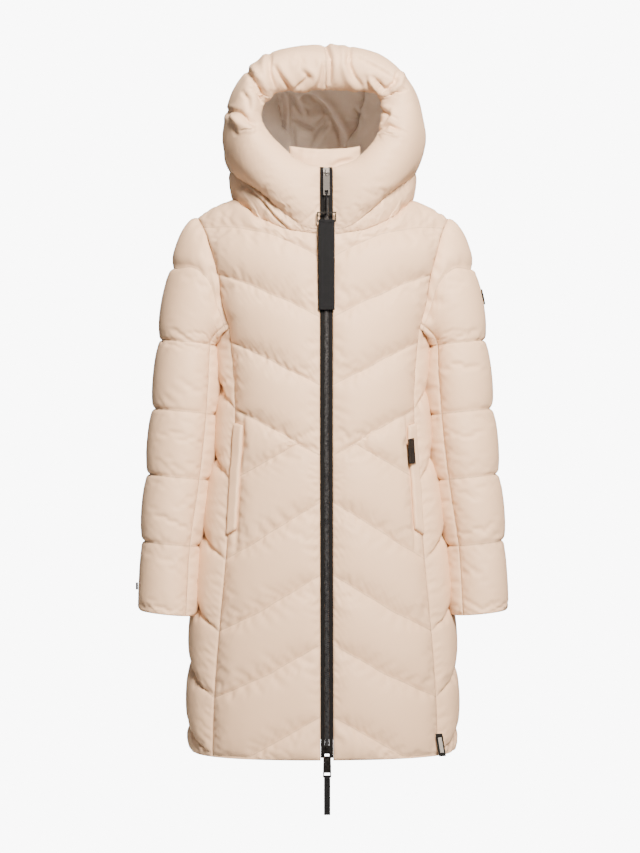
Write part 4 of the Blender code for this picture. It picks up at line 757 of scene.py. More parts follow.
def seam_distance(grid, breaks, axis):
    """Distance of each point from the nearest break line along one axis of the grid, and the run along the breaks."""
    turned = np.moveaxis(grid, axis, 0)
    steps = np.linalg.norm(np.diff(turned, axis=0), axis=2)
    run = np.concatenate([np.zeros((1, turned.shape[1])), np.cumsum(steps, axis=0)])
    nearest = np.full(run.shape, 9.0)
    for line in breaks:
        nearest = np.minimum(nearest, np.abs(run - run[line]))
    return np.moveaxis(nearest, 0, axis) if axis else nearest


def value_noise(points, scale, seed):
    """Smooth noise from -1 to 1 at 3D points, from a fixed lattice of random numbers."""
    table = np.random.default_rng(seed).uniform(-1, 1, 4096)
    p = points / scale
    base = np.floor(p).astype(int)
    f = p - base
    f = f * f * (3 - 2 * f)
    total = 0.0
    for dx in (0, 1):
        for dy in (0, 1):
            for dz in (0, 1):
                key = (base[..., 0] + dx) * 73856093 ^ (base[..., 1] + dy) * 19349663 ^ (base[..., 2] + dz) * 83492791
                weight = (np.where(dx, f[..., 0], 1 - f[..., 0]) * np.where(dy, f[..., 1], 1 - f[..., 1])
                          * np.where(dz, f[..., 2], 1 - f[..., 2]))
                total = total + weight * table[key % 4096]
    return total


def pucker(sheet, grid, rows, columns):
    """Small gathers that run away from each sewn line and die out in about 15 mm."""
    total = np.zeros(grid.shape[:2])
    for axis, breaks in enumerate((rows, columns)):
        away = seam_distance(grid, breaks, axis)
        along = np.moveaxis(grid, 1 - axis, 0)
        run = np.concatenate([np.zeros((1, along.shape[1])),
                              np.cumsum(np.linalg.norm(np.diff(along, axis=0), axis=2), axis=0)])
        run = np.moveaxis(run, 0, 1 - axis)
        drift = value_noise(grid + sheet.phase, 0.045, 11 + axis) * GATHER_DRIFT
        place = np.stack([(run + drift) / GATHER_PITCH, away / GATHER_LONG,
                          np.full(run.shape, sheet.phase * 7 + axis)], -1)
        gathers = value_noise(place, 1.0, 5)
        patchy = 0.6 + 0.4 * value_noise(grid + 3 + sheet.phase, 0.05, 17 + axis)
        total += PUCKER * patchy * gathers * (away / GATHER_REACH) * np.exp(1 - away / GATHER_REACH)
    return total * np.minimum(1.0, sheet.flat_fine + 0.25)


def creases(points, normals, folds):
    """Height of listed folds, each a valley with a ridge along one side, where the cloth faces the camera."""
    eye = np.array(CAMERA_PLACE)
    away = points - eye
    plane = eye[[0, 2]] + away[..., [0, 2]] * (-eye[1] / away[..., 1])[..., None]
    facing = -(normals * away).sum(-1) / np.linalg.norm(away, axis=-1)
    shown = np.clip((facing + 0.35) / 0.35, 0.0, 1.0)
    total = np.zeros(points.shape[:2])
    for line, depth, width, ridge_side in folds:
        line = np.array(line)
        nearest, signed, run = np.full(total.shape, 9.0), np.zeros(total.shape), np.zeros(total.shape)
        lengths = np.linalg.norm(np.diff(line, axis=0), axis=1)
        before = np.concatenate([[0.0], np.cumsum(lengths)])
        for k in range(len(line) - 1):
            way = (line[k + 1] - line[k]) / lengths[k]
            offset = plane - line[k]
            along = np.clip(offset @ way, 0.0, lengths[k])
            gap = offset - along[..., None] * way
            distance = np.linalg.norm(gap, axis=-1)
            closer = distance < nearest
            nearest = np.where(closer, distance, nearest)
            signed = np.where(closer, distance * np.sign(way[0] * gap[..., 1] - way[1] * gap[..., 0]), signed)
            run = np.where(closer, (before[k] + along) / before[-1], run)
        taper = np.sin(np.pi * np.clip(run, 0.0, 1.0)) ** 0.5
        valley = np.exp(-(signed / (0.75 * width)) ** 2)
        ridge = np.exp(-((ridge_side * signed - 1.9 * width) / (1.3 * width)) ** 2)
        total += 1.1 * depth * taper * (0.7 * ridge - valley)
    return total * shown


def build_sheet(sheet, material, folds=()):
    rows = [2 * r for r in sheet.seams]
    columns = [2 * c for c in sheet.columns]
    fine = doubled(np.moveaxis(doubled(sheet.shape, sheet.seams), 1, 0), sheet.columns)
    fine = np.moveaxis(fine, 0, 1)
    sheet.flat_fine = doubled(doubled(sheet.flat, sheet.seams).T, sheet.columns).T
    normals = crossing(fine) * (-1 if sheet.flipped else 1)
    bump = pucker(sheet, fine, rows, columns)
    edge = np.ones(bump.shape, bool)
    edge[1:-1, 1:-1] = False
    if folds:
        bump += creases(fine, normals, folds)
    bump[edge] = 0
    bump[rows] = np.minimum(bump[rows], 0)
    fine = fine + normals * bump[..., None]
    inner = sheet.base - sheet.normals * sheet.wall
    return shell_object(sheet, fine, inner, rows, columns, material)


def shell_object(sheet, fine, inner, rows, columns, material):
    big, small = fine.shape[:2], inner.shape[:2]
    count = big[0] * big[1]
    outer_faces = sheet.faces(*big).tolist()
    inner_faces = sheet.faces(*small, shift=count, back=True).tolist()
    walls = []
    loop = ([(0, j) for j in range(small[1] - 1)] + [(i, small[1] - 1) for i in range(small[0] - 1)]
            + [(small[0] - 1, j) for j in range(small[1] - 1, 0, -1)] + [(i, 0) for i in range(small[0] - 1, 0, -1)])
    for (i, j), (k, m) in zip(loop, loop[1:] + loop[:1]):
        a, b = 2 * i * big[1] + 2 * j, 2 * k * big[1] + 2 * m
        middle = (i + k) * big[1] + (j + m)
        face = [a, middle, b, count + k * small[1] + m, count + i * small[1] + j]
        walls.append(face[::-1] if sheet.flipped else face)
    points = np.concatenate([fine.reshape(-1, 3), inner.reshape(-1, 3)])
    obj = add_mesh(sheet.name + "_cloth", points, outer_faces + inner_faces + walls, material)
    down = np.concatenate([seam_distance(fine, rows, 0).ravel(), np.ones(small[0] * small[1])])
    across = np.concatenate([seam_distance(fine, columns, 1).ravel(), np.ones(small[0] * small[1])])
    for name, values in (("seam_down", down), ("seam_across", across)):
        layer = obj.data.attributes.new(name, "FLOAT", "POINT")
        layer.data.foreach_set("value", values.astype(np.float32))
    return obj


def add_mesh(name, points, faces, material, smooth_faces=True):
    mesh = bpy.data.meshes.new(name)
    mesh.from_pydata(np.asarray(points, float).tolist(), [], [list(face) for face in faces])
    mesh.update()
    mesh.materials.append(material)
    mesh.polygons.foreach_set("use_smooth", [smooth_faces] * len(mesh.polygons))
    obj = bpy.data.objects.new(name, mesh)
    bpy.context.scene.collection.objects.link(obj)
    return obj


def stacked(rings, count, turn=1, shift=0):
    """Faces of a closed stack of rings of points: its sides, then its first and last end."""
    last = shift + (rings - 1) * count
    faces = [[a + i, a + (i + 1) % count, a + count + (i + 1) % count, a + count + i][::turn]
             for a in range(shift, last, count) for i in range(count)]
    return faces + [list(range(shift, shift + count))[::-turn], list(range(last, last + count))[::turn]]


def flip_if_inside_out(obj):
    mesh = obj.data
    mesh.calc_loop_triangles()
    points = np.array([v.co for v in mesh.vertices])
    corners = points[np.array([t.vertices for t in mesh.loop_triangles])]
    if np.linalg.det(corners).sum() < 0:
        mesh.flip_normals()


def stand_for(obj, node, body="coat"):
    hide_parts(node)
    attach(obj, body)


# Materials

class Tree:
    """Short calls to build a node tree."""

    def __init__(self, tree):
        self.tree = tree

    def node(self, kind, inputs=(), **settings):
        node = self.tree.nodes.new("ShaderNode" + kind)
        for key, value in settings.items():
            setattr(node, key, value)
        for socket, value in dict(inputs).items():
            if isinstance(value, bpy.types.NodeSocket):
                self.tree.links.new(value, node.inputs[socket])
            else:
                node.inputs[socket].default_value = value
        return node

    def math(self, operation, a, b=0.0):
        return self.node("Math", {0: a, 1: b}, operation=operation).outputs[0]

    def ramp(self, value, low, high, to_low=0.0, to_high=1.0):
        return self.node("MapRange", {"Value": value, "From Min": low, "From Max": high, "To Min": to_low,
                                      "To Max": to_high}).outputs["Result"]


class Material(Tree):
    """Short calls to build a shader."""

    def __init__(self, name, colour, roughness, metallic=0.0, **sockets):
        self.material = bpy.data.materials.new(name)
        self.material.use_nodes = True
        super().__init__(self.material.node_tree)
        self.place = self.node("TexCoord").outputs["Object"]
        self.shader = self.tree.nodes["Principled BSDF"]
        self.shader.inputs["Base Color"].default_value = (*colour, 1.0)
        self.shader.inputs["Roughness"].default_value = roughness
        self.shader.inputs["Metallic"].default_value = metallic
        for socket, value in sockets.items():
            self.shader.inputs[socket.replace("_", " ")].default_value = value

    def noise(self, scale, detail=3.0, rough=0.5, distortion=0.0):
        return self.node("TexNoise", {"Vector": self.place, "Scale": scale, "Detail": detail, "Roughness": rough,
                                      "Distortion": distortion}).outputs["Fac"]

    def wave(self, scale, direction):
        return self.node("TexWave", {"Vector": self.place, "Scale": scale},
                         wave_type="BANDS", bands_direction=direction).outputs["Fac"]

    def blend(self, factor, a, b):
        node = self.node("Mix", data_type="RGBA")
        for socket, value in zip((node.inputs[0], node.inputs[6], node.inputs[7]), (factor, a, b)):
            if isinstance(value, bpy.types.NodeSocket):
                self.tree.links.new(value, socket)
            else:
                socket.default_value = (*value, 1.0)
        return node.outputs[2]

    def attribute(self, name):
        return self.node("Attribute", attribute_name=name).outputs["Fac"]

    def bump(self, height, strength, distance, after=None):
        inputs = {"Height": height, "Strength": strength, "Distance": distance}
        if after is not None:
            inputs["Normal"] = after
        return self.node("Bump", inputs).outputs["Normal"]

    def set(self, socket, value):
        self.tree.links.new(value, self.shader.inputs[socket])


def cloth_material(name, colour, shade, roughness, sheen, seams=True):
    """Soft matt woven shell cloth: fine weave, faint mottling, soft gathers, stitches along the sewn lines, and
    painted shade that darkens the seam valleys.
    """
    m = Material(name, colour, roughness, Sheen_Weight=sheen, Sheen_Roughness=0.45, Specular_IOR_Level=0.32)
    m.shader.inputs["Sheen Tint"].default_value = (1.0, 0.94, 0.86, 1.0)
    cloudy = m.noise(9.0, 4.0, 0.55)
    tone = m.blend(m.ramp(cloudy, 0.3, 0.7), colour, shade)
    fine = m.noise(1100.0, 2.0, 0.6)
    tone = m.blend(m.ramp(fine, 0.2, 0.8, 0.0, 0.10), tone, tuple(0.86 * c for c in colour))
    warp, weft = m.wave(1900.0, "X"), m.wave(1900.0, "Z")
    weave = m.math("MULTIPLY", m.math("ADD", warp, weft), 0.5)
    creases = m.noise(48.0, 5.0, 0.62, distortion=0.8)
    crinkle = m.noise(150.0, 3.0, 0.6, distortion=0.5)
    normal = m.bump(creases, 0.07, 0.0014)
    normal = m.bump(crinkle, 0.07, 0.0005, normal)
    if seams:
        down = m.attribute("seam_down")
        across = m.attribute("seam_across")
        near = m.math("MINIMUM", down, across)
        # Painted shade: the cloth darkens within about 2 mm of each sewn line, standing in for the shadow that lies in
        # the seam's valley.
        valley = m.ramp(near, 0.0, 0.0018, 1.0, 0.0)
        dots = m.ramp(m.noise(420.0, 0.0), 0.46, 0.54)
        stitch = m.math("MULTIPLY", m.ramp(near, 0.0006, 0.0011, 1.0, 0.0), dots)
        tone = m.blend(m.math("MULTIPLY", valley, 0.50), tone, tuple(0.62 * c for c in colour))
        tone = m.blend(m.math("MULTIPLY", stitch, 0.35), tone, tuple(0.45 * c for c in colour))
        gather = m.noise(210.0, 2.0, 0.5)
        beside = m.ramp(near, 0.0, 0.016, 1.0, 0.0)
        normal = m.bump(m.math("MULTIPLY", gather, beside), 0.25, 0.0010, normal)
        normal = m.bump(stitch, 0.4, 0.0004, normal)
    normal = m.bump(weave, 0.10, 0.00008, normal)
    m.set("Base Color", tone)
    m.set("Roughness", m.ramp(creases, 0.3, 0.7, roughness - 0.05, roughness + 0.05))
    m.set("Normal", normal)
    return m.material


def woven_material(name, colour, light, roughness, pitch, relief):
    m = Material(name, colour, roughness, Specular_IOR_Level=0.14)
    rib, cross = m.wave(pitch, "Z"), m.wave(pitch * 1.3, "X")
    weave = m.math("MULTIPLY", rib, m.ramp(cross, 0.0, 1.0, 0.6, 1.0))
    lint = m.noise(600.0, 3.0, 0.6)
    m.set("Base Color", m.blend(m.math("MULTIPLY", weave, m.ramp(lint, 0.3, 0.7, 0.5, 1.0)), colour, light))
    m.set("Roughness", m.ramp(lint, 0.3, 0.7, roughness - 0.06, roughness + 0.06))
    m.set("Normal", m.bump(weave, 0.6, relief, m.bump(lint, 0.2, 0.0001)))
    return m.material


def metal_material(name, colour, worn, roughness, metallic):
    m = Material(name, colour, roughness, metallic)
    cast = m.noise(260.0, 4.0, 0.6)
    m.set("Base Color", m.blend(m.ramp(cast, 0.45, 0.75), colour, worn))
    m.set("Roughness", m.ramp(cast, 0.3, 0.7, roughness - 0.06, roughness + 0.10))
    m.set("Normal", m.bump(cast, 0.12, 0.0001))
    return m.material


# Panels of the coat

shell = cloth_material("shell_cloth_beige", SHELL, SHELL_SHADE, 0.60, 0.06)
lining = cloth_material("lining_cloth_beige", LINING, LINING_SHADE, 0.52, 0.04)
plain_shell = cloth_material("welt_cloth_beige", SHELL, SHELL_SHADE, 0.60, 0.06, seams=False)
black_tape = woven_material("zip_tape_woven", TAPE, TAPE_LIGHT, 0.8, 700.0, 0.00025)
black_metal = metal_material("zip_metal_black", BLACK_METAL, BLACK_WORN, 0.30, 0.5)
gun_metal = metal_material("pull_metal_gunmetal", GUN_METAL, GUN_WORN, 0.58, 0.05)
teeth_plastic = metal_material("zip_teeth_dark", TEETH, TEETH_WORN, 0.30, 0.0)
webbing = woven_material("webbing_charcoal", WEBBING, WEBBING_LIGHT, 0.75, 420.0, 0.0005)
label_cloth = woven_material("label_black", LABEL, LABEL_LIGHT, 0.6, 900.0, 0.0002)
label_field = woven_material("label_grey", FIELD, FIELD_LIGHT, 0.6, 900.0, 0.0002)

AXIS = (0.0, 0.0, -0.4)
front = Sheet("front_left", front_surface, 28, AXIS, grow=0.026, cap=0.020, loft=0.013, top=True)
side = Sheet("side_left", side_surface, 22, (0, 0, -0.5), grow=0.030, cap=0.018, loft=0.010, puff=0.005)
back = Sheet("back", back_surface, 54, AXIS, grow=0.035, cap=0.021, loft=0.013, top=True)
SLEEVE_ROUND, FIRST, LAST = 56, 21, 35      # columns round the sleeve, and those of the under panel
sleeve_axis = sleeve_surface(SLEEVE_ROUND)


def sleeve_sheet(name, span, grow, cap, loft, puff):
    sheet = Sheet(name, sleeve_surface, SLEEVE_ROUND, AXIS, grow=grow, cap=cap, loft=loft, column_span=span, puff=puff)
    middle = sleeve_axis[0](sheet.at)[:, :-1].mean(axis=1)[:, None]
    away = ((sheet.base - middle) * sheet.normals).sum()
    if away < 0:
        sheet.normals, sheet.flipped = -sheet.normals, not sheet.flipped
    return sheet


upper = sleeve_sheet("sleeve_left_upper", (LAST, FIRST), 0.022, 0.013, 0.007, 0.004)
upper.flat[upper.seams[-2] + 1:] = CUFF_FLAT
under = sleeve_sheet("sleeve_left_under", (FIRST, LAST), 0.024, 0.013, 0.005, 0.006)
band = Sheet("hood_band_left", band_surface, 36, (0, 0.02, 0.09), grow=0.025, cap=0.013, loft=0.006, step=0.0045)
band.seams = [0, band.base.shape[0] - 1]
band.pins[:] = False
band.pins[[0, -1]] = band.pins[:, [0, -1]] = True
collar = Sheet("collar_left", collar_surface, 70, (0, 0, 0.0), grow=0.022, cap=0.013, loft=0.006)
HOOD_SHELL = {"grow": 0.045, "cap": 0.012, "loft": 0.006}
HOOD_LINING = {"grow": 0.012, "cap": 0.006, "loft": 0.003, "wall": 0.0015, "step": 0.005, "slot": "lining_cloth",
               "faces_in": True}
hood_side = Sheet("hood_side_left", hood_side_surface, 26, HOOD_MIDDLE, **HOOD_SHELL)
hood_centre = Sheet("hood_centre", hood_centre_surface, 12, HOOD_MIDDLE, **HOOD_SHELL)
lining_side, lining_centre = lining_surfaces()
inner_side = Sheet("hood_lining_left", lining_side, 44, HOOD_MIDDLE, **HOOD_LINING)
inner_centre = Sheet("hood_lining_centre", lining_centre, 28, HOOD_MIDDLE, **HOOD_LINING)


def guard_surface(columns):
    xs = np.linspace(-GUARD_HALF, GUARD_HALF, columns + 1)

    def surface(at):
        level = GUARD_TOP - GUARD_TALL * at[:, None] + GUARD_RISE * (xs / GUARD_HALF) ** 2
        dip = GUARD_CURVE * xs ** 2 + 0 * level
        return np.stack([xs + 0 * level, GUARD_FRONT + dip, level], -1)

    return surface, 2


guard = Sheet("inner_collar", guard_surface, 16, (0, 0.2, 0), grow=0.04, cap=0.006, loft=0.004, slot="lining_cloth")

# The welts press the front flat between the waist line and the hip line
names = ["top"] + [name for name, _, _ in FRONT_LINES]
first, last = front.seams[names.index("waist")], front.seams[names.index("hip")]
welt_column = front.base.shape[1] - 1 - WELT_COLUMNS
front.pins[first:last + 1, welt_column] = True
levels = front.base[first:last + 1, -1, 2]
welt_first = first + int(np.argmin(np.abs(levels - WELT_TOP)))
welt_last = first + int(np.argmin(np.abs(levels - WELT_BOTTOM)))
front.pins[welt_first:welt_last + 1, welt_column:] = True
front.flat[welt_first:welt_last + 1, welt_column + 1:] = 0.0
# A band that runs out to nothing has no loft
pocket = names.index("pocket")
closed = front.base[front.seams[pocket - 1], :, 2] - front.base[front.seams[pocket], :, 2] < NARROW_BAND
front.pins[front.seams[pocket - 1]:front.seams[pocket] + 1, closed] = True
front.flat[front.seams[pocket - 1]:front.seams[pocket] + 1, closed] = 0.0
narrow = front.base[front.seams[-2]][:, 2] - HEM_LEVEL < NARROW_HEM
front.pins[front.seams[-2]:, narrow] = True

halves = [front, side, upper, under, band, collar, hood_side, inner_side]
sheets = []
for k, sheet in enumerate(halves):
    sheet.phase = 1.7 * k
    sheets += [sheet, sheet.mirrored(sheet.name.replace("left", "right"), 1.7 * k + 23.0)]
sheets += [back, hood_centre, inner_centre, guard]

for sheet in sheets:
    sheet.start_simulation()
scene = bpy.context.scene
scene.frame_start, scene.frame_end = 1, SIM_FRAMES
for number in range(1, SIM_FRAMES + 1):
    scene.frame_set(number)
for sheet in sheets:
    sheet.end_simulation()
scene.frame_set(1)


def drawn_open(points):
    """The hood's edge on the wearer's right is drawn outwards below its middle."""
    x, y, z = np.moveaxis(points, -1, 0)
    near = np.exp(-((x - OPEN_PLACE[0]) ** 2 + (z - OPEN_PLACE[1]) ** 2) / OPEN_REACH ** 2)
    front_part = np.clip((-y - OPEN_FRONT) / OPEN_FADE, 0.0, 1.0)
    return points - np.stack([OPEN_SHIFT * near * front_part, 0 * x, 0 * x], -1)


for sheet in sheets:
    if sheet.name.startswith("hood") and sheet.name.endswith("right"):
        sheet.shape, sheet.base = drawn_open(sheet.shape), drawn_open(sheet.base)

FOLDS = {"hood_band": HOOD_FOLDS, "hood_lining": LINING_FOLDS, "hood_side": HOOD_FOLDS, "hood_centre": HOOD_FOLDS,
         "collar": COLLAR_FOLDS, "inner_collar": GUARD_FOLDS}
for sheet in sheets:
    single = sheet.slot == "lining_cloth" and sheet is not guard
    folds = next((FOLDS[key] for key in FOLDS if sheet.name.startswith(key)), ())
    obj = build_sheet(sheet, lining if single else shell, folds)
    stand_for(obj, sheet.name)


# Zip, pulls and labels

def front_at_zip(z):
    """y of the coat's front at the zip, at a level."""
    rows = [(row[2], row[1]) for row in HOOD_BAND[0]]
    return float(smooth(rows, z)) if z >= rows[-1][0] else -float(torso_depth(0.0, z, False))


def tooth_chain():
    """Two rows of moulded teeth that mesh along the zip's middle line, on a thin core."""
    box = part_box("zip_chain")
    levels = np.arange(box[0][2] + TOOTH_PITCH, box[1][2] - TOOTH_PITCH, TOOTH_PITCH / 2)
    points, faces = [], []
    for k, z in enumerate(levels):
        y, sign = front_at_zip(z), 1 if k % 2 else -1
        faces += stacked(len(TOOTH_LAYERS), len(TOOTH_OUTLINE), sign, len(points))
        for depth, slim in TOOTH_LAYERS:
            for across, up in TOOTH_OUTLINE:
                points.append((sign * across * (0.9 if slim < 1 else 1), y + depth, z + up * TOOTH_PITCH * slim))
    core = levels[::4]
    faces += stacked(len(core), 4, shift=len(points))
    for z in core:
        near, far = front_at_zip(z) + CORE_FRONT, front_at_zip(z) + CORE_BACK
        points += [(-CORE_HALF, near, z), (CORE_HALF, near, z), (CORE_HALF, far, z), (-CORE_HALF, far, z)]
    obj = add_mesh("zip_teeth", points, faces, teeth_plastic, smooth_faces=False)
    stand_for(obj, "zip_chain")


tooth_chain()


def rounded_slab(name, frames, half_width, half_thick, material, columns):
    """A strap or welt along frames of (place, across, out, thickness), with soft edges."""
    profile = [(u, np.sqrt(max(1 - abs(u) ** 6, 0.0))) for u in np.linspace(-1, 1, columns + 1)]
    ring = [(u * half_width, v * half_thick) for u, v in profile]
    ring += [(u * half_width, -v * half_thick) for u, v in profile[-2:0:-1]]
    points = [place + across * u + out * v * fat for place, across, out, fat in frames for u, v in ring]
    obj = add_mesh(name, points, stacked(len(frames), len(ring)), material)
    flip_if_inside_out(obj)
    return obj


def hanging(y, z, fat):
    """A frame of a strap that hangs in front of the zip."""
    return np.array((0.0, y, z)), np.array((1.0, 0, 0)), np.array((0, -1.0, 0)), fat


def pocket_welt(panel, name):
    """A padded strip over the pocket's mouth, sewn down at its ends."""
    base, normals = panel.base[welt_first:welt_last + 1], panel.normals[welt_first:welt_last + 1]
    frames, shares = [], np.linspace(0.012, 0.988, 60)
    at = shares * (welt_last - welt_first)
    inner_edge, seam_edge = through(base[:, welt_column], at), through(base[:, -1], at)
    out = through((normals[:, welt_column] + normals[:, -2]) / 2, at)
    for k, share in enumerate(shares):
        across = seam_edge[k] - inner_edge[k]
        width = np.linalg.norm(across)
        normal = out[k] / np.linalg.norm(out[k])
        fat = min(1.0, 0.45 + 14 * min(share, 1 - share))
        lift = WELT_LIFT + WELT_WAVE * math.sin(29 * share + panel.phase)
        middle = (inner_edge[k] + seam_edge[k]) / 2 + normal * lift
        frames.append((middle - across / width * 0.0003, across / width, normal, fat))
    obj = rounded_slab(name, frames, float(width) / 2 * 0.98, WELT_HALF_THICK, plain_shell, 14)
    stand_for(obj, panel.name.replace("front", "pocket_welt"))


pocket_welt(sheets[0], "pocket_welt_left_cloth")
pocket_welt(sheets[1], "pocket_welt_right_cloth")


def sleeve_badge():
    """A round label on the sleeve head's blown-up surface."""
    normals = crossing(upper.shape) * (-1 if upper.flipped else 1)
    levels = upper.shape[..., 2].T
    points = []
    for share, height in BADGE_RINGS:
        for turn in np.linspace(0, 2 * np.pi, BADGE_TURNS, endpoint=False):
            column = upper.base.shape[1] // 2 + BADGE_ASIDE + BADGE_HALF_COLUMNS * share * math.cos(turn)
            falling = -through(levels, np.array([column]))[0]
            level = BADGE_LEVEL + BADGE_HALF_TALL * share * math.sin(turn)
            row = float(np.interp(-level, falling, np.arange(len(falling))))
            point, normal = (through(through(grid, np.array([row]))[0], np.array([column]))[0]
                             for grid in (upper.shape, normals))
            points.append(point + normal / np.linalg.norm(normal) * (BADGE_LIFT + BADGE_THICK * height))
    faces = stacked(len(BADGE_RINGS), BADGE_TURNS)[:-2]
    obj = add_mesh("sleeve_badge_cloth", points, faces, label_cloth)
    flip_if_inside_out(obj)
    stand_for(obj, "sleeve_badge")


sleeve_badge()


def hem_label():
    """A cloth label over the seam at the hem: black edge, plain light field."""
    tall, half, out_by, lean = HEM_LABEL
    out = np.array((math.sin(HEM_LABEL_TURN), -math.cos(HEM_LABEL_TURN), 0.0))
    across = np.array((math.cos(HEM_LABEL_TURN), math.sin(HEM_LABEL_TURN), 0.0))
    seam = front.base[front.seams[-3]:, -1]
    frames = []
    for share in np.linspace(0, 1, 25):
        level = HEM_LABEL_LEVEL + tall * (0.5 - share)
        place = np.array([np.interp(-level, -seam[:, 2], seam[:, axis]) for axis in range(2)] + [level])
        fat = 0.5 if share in (0.0, 1.0) else 1.0
        frames.append((place + out * out_by + across * lean * (0.5 - share), across, out, fat))
    obj = rounded_slab("hem_label_cloth", frames, half, HEM_LABEL_HALF_THICK, label_cloth, HEM_LABEL_COLUMNS)
    obj.data.materials.append(label_field)
    for i in HEM_FIELD_ROWS:
        for j in HEM_FIELD_COLUMNS:
            obj.data.polygons[i * 2 * HEM_LABEL_COLUMNS + j].material_index = 1
    stand_for(obj, "hem_label")


hem_label()


def pull_webbing():
    """Folded webbing under the ring: two layers, a stitched end, and a tunnel at the ring."""
    low, high = (np.array(v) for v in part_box("pull_strap"))
    length, middle = high[2] - low[2], (low + high) / 2
    frames = []
    for share in np.concatenate([np.linspace(0, 0.06, 9)[:-1], np.linspace(0.06, 0.93, 40), np.linspace(0.935, 1, 8)]):
        fat = 1.55 if share < 0.035 else 1.0
        fat *= 1.35 if 0.935 < share < 0.985 else 1.0
        fat *= 0.55 if share in (0.0, 1.0) else 1.0
        frames.append(hanging(middle[1] - STRAP_BOW * math.sin(math.pi * share), high[2] - share * length, fat))
    obj = rounded_slab("pull_strap_webbing", frames, STRAP_WIDTH / 2, STRAP_HALF_THICK, webbing, 20)
    stand_for(obj, "pull_strap", "strap_pull")


pull_webbing()


def bottom_tab():
    """A flat tapered tab with a window at each end, and a short ribbed strap through the lower one."""
    low, high = (np.array(v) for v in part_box("pull_tab_bottom"))
    y, top, bottom = (low[1] + high[1]) / 2, high[2], low[2]
    half_top, half_low, rail, half_thick = BOTTOM_TAB
    tall = top - bottom
    bars = ((top - 0.0010, half_top * 2 - 0.003, 0.0020, 0.7),
            (bottom + 0.0012, half_low * 2 - 0.003, 0.0024, 0.7),
            ((top + bottom) / 2 - 0.0005, half_top * 2 - 0.002, tall - 0.0150, 0.7),
            ((top + bottom) / 2, 0.0016, tall * 0.40, 1.25))     # middle, width, height, front's share of thickness
    points, faces = [], []

    def slab(corners, front_y, back_y):
        faces.extend(stacked(3, 4, shift=len(points)))
        for inset, depth in ((0.0, back_y), (0.0, front_y + 0.0004), (0.0004, front_y)):
            for corner in corners:
                way = np.mean(corners, axis=0) - corner
                place = corner + way / np.linalg.norm(way) * inset
                points.append((place[0], depth, place[1]))

    for side in (-1, 1):
        corners = np.array([(side * (half_top - rail), top), (side * half_top, top), (side * half_low, bottom),
                            (side * (half_low - rail), bottom)])
        slab(corners[::side], y - half_thick, y + half_thick)
    for z, width, height, share in bars:
        a, b = width / 2, height / 2
        corners = np.array([(-a, z + b), (a, z + b), (a, z - b), (-a, z - b)])
        slab(corners, y - half_thick * share, y + half_thick * 0.7)
    obj = add_mesh("pull_tab_bottom_plate", points, faces, black_metal, smooth_faces=False)
    flip_if_inside_out(obj)
    stand_for(obj, "pull_tab_bottom", "bottom_pull")
    low, high = (np.array(v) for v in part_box("pull_strap_bottom"))
    frames = []
    for share in np.linspace(0, 1, 121):
        fat = 1.0 + 0.28 * (math.sin(2 * math.pi * BOTTOM_STRAP_RIBS * share) > 0.3)
        fat *= 1.7 if share < 0.09 else 1.0
        fat *= 0.6 if share in (0.0, 1.0) else 1.0
        frames.append(hanging((low[1] + high[1]) / 2, high[2] - share * (high[2] - low[2]), fat))
    obj = rounded_slab("pull_strap_bottom_webbing", frames, (high[0] - low[0]) * 0.56, BOTTOM_STRAP_HALF_THICK,
                       webbing, 10)
    stand_for(obj, "pull_strap_bottom", "bottom_pull")


bottom_tab()

for material, nodes in ((black_tape, ("zip_tape_left", "zip_tape_right")), (gun_metal, ("pull_tab_top",)),
                        (black_metal, ("zip_slider_top", "zip_slider_bottom", "pull_ring")),
                        (webbing, ("pull_cord",)), (label_cloth, ("pocket_label", "cuff_tab"))):
    for node in nodes:
        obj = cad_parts[node]
        obj.data.materials.clear()
        obj.data.materials.append(material)


# Floor, light and camera

corners = [(x * FLOOR_HALF, y * FLOOR_HALF, FLOOR) for x, y in ((-1, -1), (1, -1), (1, 1), (-1, 1))]
add_mesh("floor", corners, [(0, 1, 2, 3)], Material("floor_pale", FLOOR_GREY, 0.9).material)

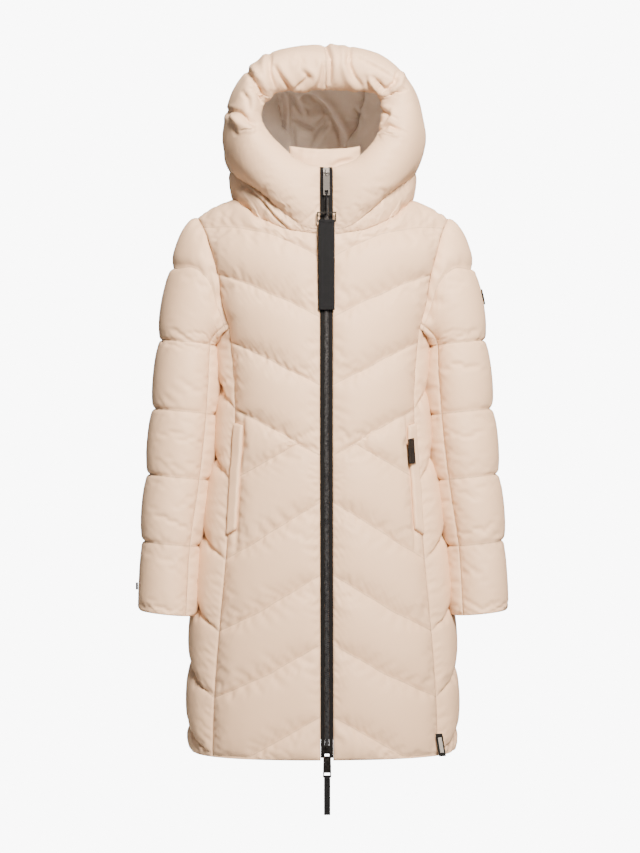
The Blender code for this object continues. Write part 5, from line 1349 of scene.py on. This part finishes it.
world = bpy.data.worlds.new("studio")
bpy.context.scene.world = world
world.use_nodes = True
sky = Tree(world.node_tree)
soft = sky.tree.nodes["Background"]
soft.inputs["Color"].default_value = (*WORLD_TINT, 1.0)
soft.inputs["Strength"].default_value = WORLD_LIGHT
bright = sky.node("Background", {"Color": (1.0, 1.0, 1.0, 1.0), "Strength": BACKDROP_LIGHT})
toward = sky.node("SeparateXYZ", {0: sky.node("TexCoord").outputs["Generated"]})


def inside(slope, middle, half):
    """1 within half of the middle, 0 outside, with a soft edge."""
    return sky.ramp(sky.math("ABSOLUTE", sky.math("SUBTRACT", slope, middle)), half + BACKDROP_EDGE, half)


ahead = sky.math("MAXIMUM", toward.outputs["Y"], BACKDROP_AHEAD)
sideways, upwards = (sky.math("DIVIDE", toward.outputs[axis], ahead) for axis in "XZ")
patch = sky.math("MULTIPLY", inside(sideways, BACKDROP_MIDDLE, BACKDROP_HALF[0]),
                 inside(upwards, 0.0, BACKDROP_HALF[1]))
patch = sky.math("MULTIPLY", patch, sky.math("GREATER_THAN", toward.outputs["Y"], BACKDROP_AHEAD))
both = sky.node("MixShader", {0: patch, 1: soft.outputs[0], 2: bright.outputs[0]})
sky.tree.links.new(both.outputs[0], sky.tree.nodes["World Output"].inputs["Surface"])


def area_light(name, place, target, size, energy, spread):
    data = bpy.data.lights.new(name, "AREA")
    data.shape, data.size, data.energy, data.color = "DISK", size, energy, LAMP_TINT
    data.spread = math.radians(spread)
    light = bpy.data.objects.new(name, data)
    light.location = place
    way = np.array(target, float) - np.array(place, float)
    light.rotation_euler = (math.atan2(math.hypot(way[0], way[1]), -way[2]), 0, math.atan2(-way[0], way[1]))
    bpy.context.scene.collection.objects.link(light)


for light in LIGHTS:
    area_light(*light)

camera_data = bpy.data.cameras.new("camera")
camera_data.lens = CAMERA_LENS
camera_data.sensor_width = 36.0
camera = bpy.data.objects.new("camera", camera_data)
camera.location = CAMERA_PLACE
camera.rotation_euler = (math.pi / 2, 0.0, math.atan2(-(CAMERA_AIM_X - CAMERA_PLACE[0]), -CAMERA_PLACE[1]))
bpy.context.scene.collection.objects.link(camera)
bpy.context.scene.camera = camera
